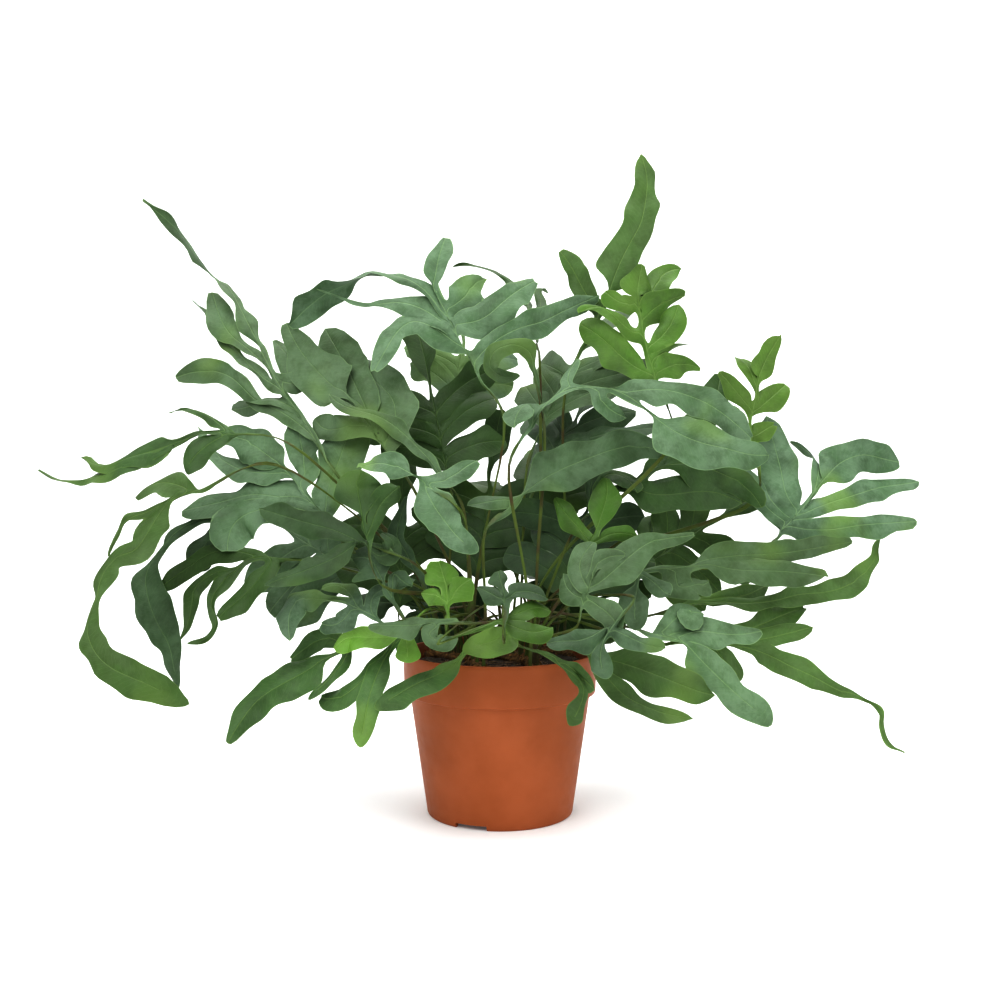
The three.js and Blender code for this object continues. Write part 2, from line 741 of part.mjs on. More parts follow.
    lobes: [
      lobe(
        0,
        "right",
        [[302, 279], [326, 279], [352, 283], [378, 285], [410, 287]],
        [20, 20, 21, 19, 0],
        [0, 15],
        6,
      ),
      lobe(
        1,
        "right",
        [[320, 304], [346, 312], [372, 320], [394, 323], [411, 326]],
        [20, 20, 22, 21, 6],
        [0, -10],
        0,
      ),
      lobe(0, "left", [[262, 300], [246, 320], [230, 344]], [18, 26, 0], [0, -20], -8),
      lobe(1, "left", [[281, 312], [275, 336], [268, 362], [260, 391]], [28, 36, 32, 0], [0, -10], -4),
      lobe(3, "left", [[310, 344], [298, 358], [283, 365]], [12, 12, 0], [0, 130], -16),
    ],
    tip: tip([[334, 345], [356, 352], [376, 348], [391, 345]], [36, 34, 24, 12], [0, 35]),
  },
  {
    name: "frond_right_wavy_narrow", tone: GREEN, faces: [8, 40], depth: 30,
    rachis: [[170, 200], [190, 205], [212, 207]],
    lobes: [
      lobe(0, "left", [[232, 212], [250, 218], [266, 226]], [13, 15, 0], [0, 60], -14),
    ],
    tip: tip(
      [[240, 206], [268, 208], [296, 215], [322, 217], [346, 226], [362, 240], [370, 256], [374, 273]],
      [12, 16, 20, 16, 22, 14, 6, 0],
      [0, 20],
    ),
  },
  {
    name: "frond_lower_right_olive", tone: GREEN, faces: [8, 34], depth: 36,
    rachis: [[176, 166], [200, 166], [222, 165], [242, 162]],
    lobes: [
      lobe(1, "left", [[240, 178], [262, 187], [280, 195], [299, 202]], [16, 24, 24, 8], [0, 0], 0),
      lobe(2, "left", [[262, 171], [286, 177], [309, 183]], [16, 21, 8], [0, 20], 14),
      lobe(1, "right", [[222, 148], [232, 138], [237, 128]], [20, 14, 0], [0, 0], -10),
    ],
    tip: tip(
      [
        [264, 155], [288, 143], [312, 132], [334, 120], [357, 113], [373, 99], [380, 82], [386, 67],
        [402, 56],
      ],
      [20, 18, 17, 13, 4, 4, 4, 3, 0],
      [0, 70],
    ),
  },
  {
    name: "frond_lower_right_pointed", tone: BLUE, faces: [8, 36], depth: 70,
    rachis: [[150, 176], [166, 172], [182, 166]],
    lobes: [
      lobe(1, "left", [[196, 178], [216, 176], [238, 175], [258, 179]], [24, 24, 18, 0], [0, 0], -4),
      lobe(0, "left", [[172, 190], [186, 200], [190, 180]], [18, 26, 0], [0, 0], 12),
    ],
    tip: tip([[200, 148], [218, 130], [240, 110], [270, 86]], [26, 26, 22, 0], [0, 15]),
  },
  {
    name: "frond_rim_right_pair", tone: GREEN, faces: [2, 36], depth: 92,
    rachis: [[86, 158], [97, 152]],
    lobes: [
      lobe(
        0,
        "right",
        [[108, 130], [122, 115], [142, 104], [164, 96], [192, 91]],
        [12, 19, 20, 17, 0],
        [0, -15],
        4,
      ),
    ],
    tip: tip(
      [[122, 146], [148, 137], [174, 127], [198, 118], [213, 115]],
      [26, 30, 27, 20, 7],
      [0, 10],
      14,
    ),
  },
  {
    name: "frond_rim_right_blue", tone: BLUE, faces: [0, 40], depth: 122,
    rachis: [[104, 184], [98, 176], [93, 167]],
    lobes: [
      lobe(0, "right", [[80, 172], [66, 168], [52, 168], [36, 166]], [16, 22, 18, 0], [0, 0], 8),
      lobe(0, "left", [[118, 172], [134, 164], [156, 160]], [16, 16, 0], [0, 0], 0),
    ],
    tip: tip([[89, 152], [90, 142], [91, 132]], [20, 22, 10], [0, 0], 6),
  },
  {
    name: "frond_rim_small_right", tone: GREEN, faces: [0, 30], depth: 98,
    rachis: [[42, 156], [54, 152], [64, 146]],
    lobes: [lobe(1, "right", [[80, 128], [82, 113], [77, 99], [67, 82]], [8, 10, 13, 0], [0, 0], 10)],
    tip: tip([[76, 137], [87, 127], [94, 120]], [14, 15, 6], [0, 30], 0),
  },
  {
    name: "frond_rim_left", tone: GREEN, faces: [-4, 36], depth: 84,
    rachis: [[-24, 163], [-33, 157], [-41, 149]],
    lobes: [],
    tip: tip([[-58, 137], [-80, 127], [-103, 114], [-123, 101]], [18, 21, 22, 0], [0, 10], 12),
  },
  {
    name: "frond_hanging_left_cross", tone: GREEN, faces: [-8, 34], depth: 96,
    rachis: [[-96, 172], [-106, 163], [-113, 152]],
    lobes: [
      lobe(
        0,
        "right",
        [[-128, 138], [-146, 120], [-162, 111], [-177, 113]],
        [12, 18, 20, 0],
        [0, 0],
        -14,
      ),
    ],
    tip: tip(
      [[-120, 138], [-127, 120], [-132, 100], [-135, 82], [-138, 64]],
      [17, 20, 19, 17, 0],
      [0, -10],
      8,
    ),
  },
  {
    name: "frond_lime_left", tone: LIME, faces: [-6, 38], depth: 112,
    rachis: [[-92, 182], [-98, 177], [-106, 173]],
    lobes: [lobe(0, "left", [[-92, 166], [-91, 156], [-92, 145]], [16, 22, 8], [0, 0], 4)],
    tip: tip([[-122, 172], [-138, 172], [-152, 170], [-164, 161]], [22, 26, 22, 0], [0, 20]),
  },
  {
    name: "frond_left_blue_pointed", tone: BLUE, faces: [-8, 36], depth: 102,
    rachis: [[-122, 192], [-136, 199], [-152, 206], [-170, 209]],
    lobes: [
      lobe(
        0,
        "right",
        [[-124, 214], [-110, 221], [-96, 228], [-83, 230]],
        [12, 10, 11, 0],
        [0, -30],
        6,
      ),
      lobe(1, "right", [[-150, 218], [-162, 224], [-176, 220]], [14, 14, 0], [0, 20], -4),
      lobe(1, "left", [[-154, 190], [-164, 184], [-176, 186]], [20, 18, 0], [0, 0], 0),
    ],
    tip: tip([[-186, 210], [-200, 208], [-207, 194], [-207, 168]], [18, 26, 22, 0], [0, 15], 8),
  },
  {
    name: "frond_left_blue_square", tone: BLUE, faces: [-4, 30], depth: 110,
    rachis: [[-106, 212], [-112, 222], [-118, 233]],
    lobes: [lobe(0, "right", [[-104, 236], [-98, 230], [-86, 222]], [10, 12, 0], [0, 30], 0)],
    tip: tip([[-123, 243], [-131, 251], [-146, 250]], [42, 34, 8], [0, 10]),
  },
  {
    name: "frond_left_strap", tone: BLUE, faces: [-6, 30], depth: 98,
    rachis: [[-124, 262], [-134, 266], [-145, 262]],
    lobes: [
      lobe(0, "left", [[-114, 252], [-104, 264], [-116, 276]], [14, 18, 4], [0, 40], 6),
      lobe(
        1,
        "right",
        [[-160, 277], [-184, 284], [-208, 291], [-237, 300]],
        [18, 26, 20, 0],
        [0, -15],
        -8,
      ),
    ],
    tip: tip(
      [[-160, 252], [-180, 243], [-200, 235], [-216, 230], [-232, 223]],
      [22, 21, 18, 14, 0],
      [0, 10],
      6,
    ),
  },
  {
    name: "frond_left_dark_centre", tone: GREEN, faces: [-2, 20], depth: 86,
    rachis: [[-130, 268], [-134, 282], [-136, 296]],
    lobes: [lobe(0, "right", [[-118, 302], [-106, 315], [-98, 322]], [20, 16, 0], [0, 30], 0)],
    tip: tip([[-138, 312], [-139, 326], [-136, 338]], [40, 36, 16], [0, -15], 4),
  },
  {
    name: "frond_curly_young", tone: BLUE, faces: [0, 15], depth: 92,
    rachis: [[-80, 232], [-86, 242]],
    lobes: [],
    tip: tip([[-92, 256], [-101, 272], [-98, 290], [-90, 312]], [13, 12, 16, 8], [0, 45]),
  },
  {
    name: "frond_light_maple", tone: LIME, faces: [2, 34], depth: 116,
    rachis: [[-52, 204], [-52, 214], [-53, 224]],
    lobes: [
      lobe(0, "left", [[-64, 214], [-78, 216]], [20, 8], [0, 0], 2),
      lobe(0, "right", [[-42, 220], [-28, 231]], [24, 0], [0, 0], 2),
    ],
    tip: tip([[-56, 234], [-60, 248]], [24, 0], [0, 0]),
  },
  {
    name: "frond_young_front_left", tone: LIME, faces: [-2, 44], depth: 112,
    rachis: [[22, 190], [16, 183]],
    lobes: [],
    tip: tip([[2, 173], [-14, 166], [-38, 161]], [28, 26, 0], [0, 10]),
  },
  {
    name: "frond_young_front_middle", tone: BLUE, faces: [2, 42], depth: 104,
    rachis: [[4, 206], [4, 215], [2, 223]],
    lobes: [
      lobe(0, "left", [[-10, 216], [-22, 222]], [16, 0], [0, 0], 0),
      lobe(0, "right", [[18, 218], [34, 216], [48, 210]], [16, 13, 0], [0, 0], 2),
    ],
    tip: tip([[0, 230], [-1, 238]], [14, 0], [0, 0]),
  },
  {
    name: "frond_young_front_right", tone: LIME, faces: [2, 44], depth: 108,
    rachis: [[8, 184], [18, 188], [28, 192]],
    lobes: [lobe(1, "right", [[44, 180], [58, 178], [74, 184]], [15, 16, 0], [0, 0], 4)],
    tip: tip([[42, 198], [56, 202], [70, 199]], [17, 16, 0], [0, 0]),
  },
  {
    name: "frond_dark_blue_rim_left", tone: BLUE, faces: [-4, 44], depth: 100,
    rachis: [[-58, 186], [-66, 186], [-74, 185]],
    lobes: [lobe(0, "left", [[-70, 174], [-56, 168], [-42, 172]], [14, 14, 0], [0, 0], 2)],
    tip: tip([[-90, 184], [-108, 184], [-130, 185]], [22, 18, 0], [0, 10]),
  },
  {
    name: "frond_upper_right_young", tone: LIME, faces: [14, 20], depth: -34,
    rachis: [[246, 364], [245, 377], [246, 390], [248, 403], [250, 416], [252, 427]],
    lobes: [
      lobe(0, "left", [[232, 386], [214, 397]], [18, 0], [0, 0], 2),
      lobe(0, "right", [[258, 376], [267, 381]], [18, 8], [0, 0], 4),
      lobe(2, "left", [[232, 412], [213, 434]], [22, 0], [0, -10], 4),
      lobe(2, "right", [[265, 408], [279, 421]], [22, 8], [0, 0], 2),
      lobe(4, "left", [[240, 440], [228, 448]], [18, 0], [0, 60], -14),
    ],
    tip: tip([[256, 438], [264, 454], [274, 470]], [24, 16, 0], [0, 20]),
  },
  {
    name: "frond_hanging_far_left", tone: GREEN, faces: [-20, 40], depth: 74,
    rachis: [[-262, 372], [-276, 374], [-290, 374], [-304, 368], [-320, 362]],
    lobes: [
      lobe(0, "left", [[-288, 360], [-302, 346], [-310, 334]], [22, 28, 8], [0, -20], -8),
      lobe(0, "right", [[-282, 388], [-300, 396], [-326, 393]], [8, 6, 0], [0, 40], 0),
      lobe(
        3,
        "left",
        [[-345, 350], [-375, 338], [-396, 330], [-419, 326], [-436, 328], [-453, 337]],
        [10, 14, 17, 4, 4, 0],
        [0, 30],
        -8,
      ),
    ],
    tip: tip([[-342, 355], [-366, 348], [-388, 341], [-411, 350]], [28, 16, 12, 0], [0, 20]),
  },
  {
    name: "frond_hanging_left_long", tone: GREEN, faces: [-18, 36], depth: 106,
    rachis: [[-284, 322], [-298, 317], [-312, 312], [-325, 305]],
    lobes: [
      lobe(1, "right", [[-322, 324], [-342, 322], [-358, 310]], [26, 30, 8], [0, 30], 8),
      lobe(2, "right", [[-345, 296], [-362, 290], [-376, 276], [-385, 252]], [8, 6, 5, 4], [0, 0], -8),
    ],
    tip: tip(
      [
        [-342, 282], [-356, 260], [-378, 250], [-391, 232], [-397, 210], [-406, 186], [-400, 160],
        [-380, 140], [-350, 127], [-303, 102],
      ],
      [28, 22, 20, 24, 6, 17, 22, 26, 26, 0],
      [0, 20],
    ),
  },
  {
    name: "frond_hanging_left_blue", tone: BLUE, faces: [-14, 34], depth: 100,
    rachis: [[-252, 292], [-270, 291], [-286, 289]],
    lobes: [lobe(0, "left", [[-286, 268], [-296, 254], [-302, 240]], [20, 26, 0], [0, 0], -16)],
    tip: tip(
      [
        [-304, 285], [-320, 274], [-335, 257], [-347, 236], [-346, 212], [-338, 188], [-326, 165],
        [-322, 146], [-318, 123],
      ],
      [11, 11, 7, 25, 32, 30, 20, 17, 0],
      [0, 20],
    ),
  },
  {
    name: "frond_left_dark_pair", tone: GREEN, faces: [-14, 38], depth: 92,
    rachis: [[-214, 250], [-232, 252], [-250, 248], [-264, 240]],
    lobes: [
      lobe(0, "left", [[-240, 226], [-258, 208], [-278, 192]], [26, 22, 0], [0, 10], 4),
      lobe(
        1,
        "right",
        [[-276, 258], [-302, 244], [-322, 230], [-336, 220]],
        [20, 20, 22, 12],
        [0, 0],
        -8,
      ),
      lobe(
        2,
        "left",
        [[-274, 226], [-284, 205], [-279, 186], [-290, 171], [-310, 164]],
        [16, 8, 4, 5, 0],
        [0, 0],
        6,
      ),
    ],
    tip: tip(
      [[-284, 234], [-300, 220], [-304, 198], [-309, 181], [-315, 169]],
      [14, 14, 13, 7, 0],
      [0, 0],
    ),
  },
  {
    name: "frond_lower_left_olive", tone: GREEN, faces: [-10, 38], depth: 98,
    rachis: [[-142, 166], [-158, 157], [-174, 150]],
    lobes: [
      lobe(0, "right", [[-172, 172], [-190, 162], [-206, 151]], [20, 18, 0], [0, 0], -10),
      lobe(0, "left", [[-160, 140], [-176, 124], [-190, 109]], [12, 9, 0], [0, 0], 4),
    ],
    tip: tip(
      [[-192, 138], [-214, 126], [-236, 112], [-252, 94], [-270, 66]],
      [30, 34, 27, 23, 0],
      [0, 10],
    ),
  },
];

// The fronds behind and inside, placed by rule: azimuth round the pot from the front, the blade's
// reach from the axis, the height of its foot and of its tip, its lobes on each side and its colour
const ruledFronds = [
  { name: "frond_back_1", azimuth: 180, reach: 120, foot: 380, top: 520, pairs: 3, tone: BLUE },
  { name: "frond_back_2", azimuth: 148, reach: 126, foot: 330, top: 440, pairs: 3, tone: BLUE },
  { name: "frond_back_4", azimuth: 165, reach: 96, foot: 270, top: 346, pairs: 3, tone: GREEN },
  { name: "frond_back_6", azimuth: 135, reach: 106, foot: 220, top: 262, pairs: 3, tone: GREEN },
];

// The fronds among the stems, as the eye sees them: the blade's foot and head, its depth there, the
// reach of its lobes and its pairs of them
const innerFronds = [
  { name: "frond_inner_1", foot: [-22, 232], head: [-8, 342], depth: 28, reach: 82, pairs: 3, tone: GREEN },
  { name: "frond_inner_2", foot: [70, 208], head: [84, 318], depth: 26, reach: 80, pairs: 3, tone: BLUE },
  { name: "frond_inner_3", foot: [-98, 204], head: [-96, 308], depth: 30, reach: 80, pairs: 3, tone: GREEN },
  { name: "frond_inner_4", foot: [-52, 336], head: [-70, 430], depth: -10, reach: 80, pairs: 3, tone: GREEN },
  { name: "frond_inner_5", foot: [132, 236], head: [222, 296], depth: -70, reach: 66, pairs: 3, tone: GREEN },
  {
    name: "frond_inner_6",
    foot: [-138, 232],
    head: [-222, 286],
    depth: -70,
    reach: 66,
    pairs: 3,
    tone: BLUE,
  },
  {
    name: "frond_low_left",
    foot: [-14, 190],
    head: [-104, 206],
    depth: -98,
    reach: 40,
    pairs: 3,
    tone: BLUE,
  },
  {
    name: "frond_high_back",
    foot: [-46, 402],
    head: [-34, 474],
    depth: -120,
    reach: 58,
    pairs: 2,
    tone: BLUE,
  },
  {
    name: "frond_low_right",
    foot: [26, 192],
    head: [112, 214],
    depth: -98,
    reach: 40,
    pairs: 3,
    tone: GREEN,
  },
];

const materials = {
  [BLUE]: new THREE.MeshStandardMaterial({ color: 0x5c8562, roughness: 0.55, side: THREE.DoubleSide }),
  [GREEN]: new THREE.MeshStandardMaterial({ color: 0x47703a, roughness: 0.5, side: THREE.DoubleSide }),
  [LIME]: new THREE.MeshStandardMaterial({ color: 0x7da548, roughness: 0.5, side: THREE.DoubleSide }),
};

// Where the line of sight through a drawn place meets a blade's plane, within a sensible depth of it
function onPlane(across, height, origin, normal) {
  const sight = new THREE.Vector3(across, 0, height).sub(EYE);
  const toPlane = normal.dot(origin.clone().sub(EYE)) / normal.dot(sight);
  const own = origin.clone().sub(EYE).length() / sight.length();
  const share = THREE.MathUtils.clamp(toPlane, own * 0.93, own * 1.07);
  return EYE.clone().addScaledVector(sight, share);
}

// The shifts along the line of sight that a blade tries, the smallest first
const FEW_SLIDES = [0, 5, -5, 10, -10, 15, -15];
const ALL_SLIDES = [...FEW_SLIDES];
for (let slide = 20; slide <= 70; slide += 5) {
  ALL_SLIDES.push(slide, -slide);
}

// A frond drawn as it is seen, in real places
function frondFromDrawing(drawn, index) {
  const face = facing(...drawn.faces);
  const origin = seen(...drawn.rachis[0], drawn.depth);
  const rachis = drawn.rachis.map(([across, height]) => onPlane(across, height, origin, face));
  const trace = (line, from, lift) => line.map(([across, height], i) => {
    const share = (i + 1) / line.length;
    const point = onPlane(across, height, from, face);
    const sight = point.clone().sub(EYE).normalize();
    const arch = point.distanceTo(from) * 0.1 * share;
    return point.addScaledVector(sight, arch - lift * share ** 1.5);
  });
  const lobes = drawn.lobes.map((one, i) => ({
    ...one,
    line: trace(one.line, rachis[one.at], one.lift),
    phase: index * 1.3 + i * 2.2,
  }));
  const last = rachis[rachis.length - 1];
  const end = { ...drawn.tip, line: trace(drawn.tip.line, last, drawn.tip.lift), phase: index * 0.7 };
  const turns = [0, 3, -3, 6, -6, 10, -10, 15, -15];
  return { name: drawn.name, tone: drawn.tone, face, rachis, lobes, tip: end, turns, slides: ALL_SLIDES };
}

// The drawing of a frond among the stems: pairs of lobes along a straight rachis
function drawnInside(rule, index) {
  const random = randomSource(900 + index * 23);
  const vary = (size) => (random() - 0.5) * 2 * size;
  const foot = new THREE.Vector2(...rule.foot);
  const head = new THREE.Vector2(...rule.head);
  const along = head.clone().sub(foot).normalize();
  const left = new THREE.Vector2(-along.y, along.x);
  const rachis = [];
  for (let k = 0; k <= rule.pairs + 1; k += 1) {
    rachis.push(foot.clone().lerp(head, k / (rule.pairs + 1)));
  }
  const spread = (from, lean, reach) => [0.36, 0.7, 1].map((share) => {
    const point = from.clone().addScaledVector(lean, reach * share);
    return [point.x, point.y - reach * 0.3 * share * share];
  });
  const lobes = [];
  for (let k = 0; k < rule.pairs; k += 1) {
    for (const hand of ["left", "right"]) {
      const lean = left.clone().multiplyScalar(hand === "left" ? 0.85 : -0.85);
      lean.addScaledVector(along, 0.55 + vary(0.2)).normalize();
      const line = spread(rachis[k].clone().lerp(rachis[k + 1], 0.5), lean, rule.reach * (1 + vary(0.15)));
      lobes.push(lobe(k, hand, line, [25 + vary(3), 32 + vary(4), 0], [0, vary(30)], vary(14)));
    }
  }
  return {
    name: rule.name,
    tone: rule.tone,
    faces: [vary(16), 28],
    depth: rule.depth,
    rachis: rachis.map((point) => [point.x, point.y]),
    lobes,
    tip: tip(spread(head, along, rule.reach * 0.95), [26, 29, 0], [0, vary(30)], 12),
  };
}

// A frond placed by rule: it rises, leans out and spreads pairs of lobes along an arched rachis
function frondFromRule(rule, index) {
  const random = randomSource(400 + index * 17);
  const vary = (size) => (random() - 0.5) * 2 * size;
  const angle = radians(rule.azimuth - 90);
  const out = new THREE.Vector3(Math.cos(angle), Math.sin(angle), 0);
  const across = new THREE.Vector3(-out.y, out.x, 0);
  const start = out.clone().multiplyScalar(rule.reach * 0.55).setZ(rule.foot);
  const rise = rule.top - rule.foot;
  const intervals = rule.pairs + 1;
  const length = Math.hypot(rise, rule.reach) * 0.55;
  const along = new THREE.Vector3(out.x * rule.reach * 0.6, out.y * rule.reach * 0.6, rise).normalize();
  const face = new THREE.Vector3().crossVectors(across, along).normalize();
  if (face.z < 0) {
    face.negate();
  }
  const spread = (from, lean, reach, droop) => {
    const line = [];
    for (const share of [0.36, 0.7, 1]) {
      const point = from.clone().addScaledVector(lean, reach * share);
      point.addScaledVector(face, -reach * droop * share * share);
      line.push(point);
    }
    return line;
  };
  const rachis = [];
  for (let k = 0; k <= intervals; k += 1) {
    const share = k / intervals;
    const point = start.clone().addScaledVector(along, length * share);
    rachis.push(point.addScaledVector(face, -length * 0.16 * share * share));
  }
  const lobes = [];
  const left = new THREE.Vector3().crossVectors(face, along).normalize();
  for (let k = 0; k < rule.pairs; k += 1) {
    for (const hand of ["left", "right"]) {
      const side = hand === "left" ? left : left.clone().negate();
      const lean = side.clone().multiplyScalar(0.8).addScaledVector(along, 0.5 + vary(0.2)).normalize();
      const reach = (94 - Math.abs(k - 1) * 15) * (1 + vary(0.16));
      lobes.push({
        at: k,
        hand,
        line: spread(rachis[k].clone().lerp(rachis[k + 1], 0.5), lean, reach, 0.28 + vary(0.12)),
        widths: [24 + vary(3), 31 + vary(4), 0],
        turn: [0, vary(35)],
        phase: random() * 6,
      });
    }
  }
  const end = rachis[rachis.length - 1];
  const onward = end.clone().sub(rachis[rachis.length - 2]).normalize();
  const last = { line: spread(end, onward, 95 * (1 + vary(0.15)), 0.25), widths: [30, 30, 0] };
  last.turn = [0, vary(30)];
  last.phase = random() * 6;
  const turns = [0, 5, -5, 10, -10, 16, -16, 24, -24, 34, -34, 46, -46, 60, -60];
  return { name: rule.name, tone: rule.tone, face, rachis, lobes, tip: last, turns, slides: FEW_SLIDES };
}

// The stem from a bud to the blade's foot
function stemTo(bud, rachis) {
  const foot = rachis[0];
  const span = foot.distanceTo(bud);
  const entry = rachis[1].clone().sub(foot).normalize();
  const lean = new THREE.Vector3(foot.x - bud.x, foot.y - bud.y, 0);
  const rise = bud.clone().addScaledVector(lean, 0.1);
  rise.z += Math.max(12, span * 0.25);
  const early = bud.clone();
  early.z += STEM_SEAT + 4;
  const late = foot.clone().addScaledVector(entry, -span * 0.2);
  late.z = Math.max(late.z, Math.min(foot.z - 2, SOIL_HEIGHT + 24));
  return [bud, early, rise, late];
}

// A copy of a frond's blade moved along the line of sight and turned about the pot's axis
function movedFrond(frond, slide, turn) {
  const move = (point) => {
    const sight = point.clone().sub(EYE).normalize();
    return point.clone().addScaledVector(sight, slide).applyAxisAngle(UP, radians(turn));
  };
  return {
    ...frond,
    face: frond.face.clone().applyAxisAngle(UP, radians(turn)),
    rachis: frond.rachis.map(move),
    lobes: frond.lobes.map((one) => ({ ...one, line: one.line.map(move) })),
    tip: { ...frond.tip, line: frond.tip.line.map(move) },
  };
}

// Every frond takes the nearest free bud, and its blade shifts the least it must to stay clear
function placeFronds(obstacles, rhizomeBody) {
  const buds = budSites();
  const placed = [...obstacles];
  const apart = (a, b, i) => Math.max(a.min[i] - b.max[i], b.min[i] - a.max[i]);
  const boxGap = (a, b) => Math.max(apart(a, b, 0), apart(a, b, 1), apart(a, b, 2));
  const fits = (solid, spec) => {
    const box = solid.boundingBox();
    const clear = placed.every((other) => boxGap(box, other.box) > CLEARANCE
      || solid.minGap(other.solid, CLEARANCE * 2) >= CLEARANCE);
    return clear && solid.intersect(rhizomeBody.subtract(stemHole(spec))).volume() < 1e-3;
  };
  const fronds = [
    ...[...seenFronds, ...innerFronds.map(drawnInside)].map(frondFromDrawing),
    ...ruledFronds.map(frondFromRule),
  ];
  const made = [];
  for (const frond of fronds) {
    let best = null;
    for (const turn of frond.turns) {
      for (const slide of frond.slides) {
        const moved = movedFrond(frond, slide, turn);
        const foot = moved.rachis[0];
        const target = new THREE.Vector2(foot.x, foot.y);
        target.clampLength(0, RHIZOME_REACH - 14);
        const free = buds.filter((site) => !site.used);
        const away = (site) => Math.hypot(site.point.x - target.x, site.point.y - target.y);
        free.sort((a, b) => away(a) - away(b));
        for (const site of free.slice(0, 5)) {
          const spec = { ...moved, stem: stemTo(site.point, moved.rachis), stemSteps: 7 };
          const geometry = frondGeometry(spec);
          const solid = solidOf(geometry);
          if (fits(solid, spec)) {
            best = { spec, solid, geometry, site, slide, turn };
            break;
          }
        }
        if (best) {
          break;
        }
      }
      if (best) {
        break;
      }
    }
    if (!best) {
      throw new Error(`${frond.name} finds no clear place`);
    }
    best.site.used = true;
    placed.push({ solid: best.solid, box: best.solid.boundingBox() });
    made.push(best);
  }
  return made;
}

// The hole that a stem stands in: its first stretch, a little wider
function stemHole(spec) {
  const bud = spec.stem[0];
  const radius = STEM_RADIUS * 1.2 + FIT_GAP * 4;
  const hole = new THREE.CylinderGeometry(radius, radius, 14, 4).rotateX(Math.PI / 2);
  hole.translate(bud.x, bud.y, bud.z - FIT_GAP * 2 + 7);
  return solidOf(hole);
}

const pot = makePot();
const rhizomeBody = makeRhizome(RHIZOME_RADIUS);
const soil = makeSoilPlug().subtract(makeRhizome(RHIZOME_RADIUS + FIT_GAP * 1.3));
const fronds = placeFronds([
  { solid: pot, box: pot.boundingBox() },
  { solid: soil, box: soil.boundingBox() },
], rhizomeBody);
let rhizome = rhizomeBody;
for (const frond of fronds) {
  rhizome = rhizome.subtract(stemHole(frond.spec));
}

addPiece("pot", geometryOf(pot), terracotta);
addPiece("soil", geometryOf(soil), new THREE.MeshStandardMaterial({ color: 0x2e231a, roughness: 0.95 }));
addPiece("rhizome", geometryOf(rhizome), new THREE.MeshStandardMaterial({ color: 0x7c5a34, roughness: 0.8 }));
for (const frond of fronds) {
  addPiece(frond.spec.name, frond.geometry, materials[frond.spec.tone]);
}

export default part;
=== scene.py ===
"""Potted blue star fern: fine surfaces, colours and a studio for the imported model."""

import json
import math

import bmesh
import bpy
import numpy as np
from bpy.props import FloatProperty, FloatVectorProperty, IntProperty, PointerProperty
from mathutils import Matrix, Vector, noise


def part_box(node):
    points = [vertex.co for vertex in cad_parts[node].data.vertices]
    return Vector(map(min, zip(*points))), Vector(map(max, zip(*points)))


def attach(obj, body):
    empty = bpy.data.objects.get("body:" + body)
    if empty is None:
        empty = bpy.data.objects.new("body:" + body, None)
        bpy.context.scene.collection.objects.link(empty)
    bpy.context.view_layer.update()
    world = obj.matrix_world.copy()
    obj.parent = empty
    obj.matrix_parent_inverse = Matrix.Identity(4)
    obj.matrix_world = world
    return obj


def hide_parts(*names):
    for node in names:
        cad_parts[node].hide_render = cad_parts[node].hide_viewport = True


bl_info = {
    "name": "Potted blue star fern",
    "version": (1, 0, 0),
    "blender": (4, 5, 0),
    "location": "View3D > Sidebar > Fern",
    "description": "Builds the pot, soil, rhizome and fronds of a potted fern",
    "category": "Add Mesh",
}

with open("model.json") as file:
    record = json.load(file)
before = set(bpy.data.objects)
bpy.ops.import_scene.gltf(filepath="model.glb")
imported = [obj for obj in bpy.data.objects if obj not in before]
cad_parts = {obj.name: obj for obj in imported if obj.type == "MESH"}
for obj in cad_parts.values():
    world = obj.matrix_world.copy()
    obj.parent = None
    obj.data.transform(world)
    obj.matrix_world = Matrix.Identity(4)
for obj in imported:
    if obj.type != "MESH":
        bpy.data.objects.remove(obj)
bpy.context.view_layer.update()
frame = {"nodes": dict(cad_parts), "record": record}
NODES = frame["nodes"]
RECORD = frame["record"]
SLOTS = {part["node"]: part["material_slot"] for part in RECORD["subparts"]}
FRONDS = sorted(name for name in NODES if name.startswith("frond_"))
POT_LOW, POT_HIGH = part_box("pot")

# Corners of a CAD node that lie nearer than this are made one
WELD = 2e-5
# Lengths that differ by less than this are equal, and a length that nothing in the plant reaches
TINY = 1e-9
FAR_AWAY = 1e9
# Thickness of a CAD blade at its rachis, where it is thickest, and the slack for finding it
RACHIS_THICKNESS = 0.002
RACHIS_SLACK = 1e-4
# Distance from a midrib or margin that is kept in the mesh where a frond has none
NO_LINE_NEAR = 0.01
# How often a frond's cage is moved to bring its smooth surface back to the CAD corners
FIT_ROUNDS = 3
# Waves start at this share of the way from midrib to margin, and grow by this power of it
WAVE_START = 0.15
WAVE_POWER = 1.5
# Distances at which the line of a midrib or margin fades out and is full
LINE_EDGES = (0.0008, 0.0002)
# Side veins fade in over these distances from the margin, and lean this much towards the tip
VEIN_EDGES = (0.0008, 0.004)
VEIN_LEAN = 0.9

# The pot below its rim: radii of the foot and the shoulder, and the height of the band at the rim
FOOT_RADIUS = 0.0715
SHOULDER_RADIUS = 0.0885
BAND_HEIGHT = 0.041
POT_STEPS = 128
POT_SMOOTH_ANGLE = 32
# Notches of the foot: how many, the first one's angle, the cutter's size and its middle's height
NOTCHES = 3
FIRST_NOTCH = -113
NOTCH_SIZE = (0.018, 0.032, 0.008)
NOTCH_MIDDLE = 0.0008
# Drain holes: how many, their radius, the radius of the circle that they lie on and the height of
# the cutters. The turn keeps the cutters' corners off the pot's own edges
HOLES = 6
HOLE_RADIUS = 0.006
HOLE_CIRCLE = 0.048
HOLE_MIDDLE = 0.005
HOLE_TURN = 0.07

# Face sizes of the remeshed soil and rhizome
SOIL_VOXEL = 0.0022
RHIZOME_VOXEL = 0.0012
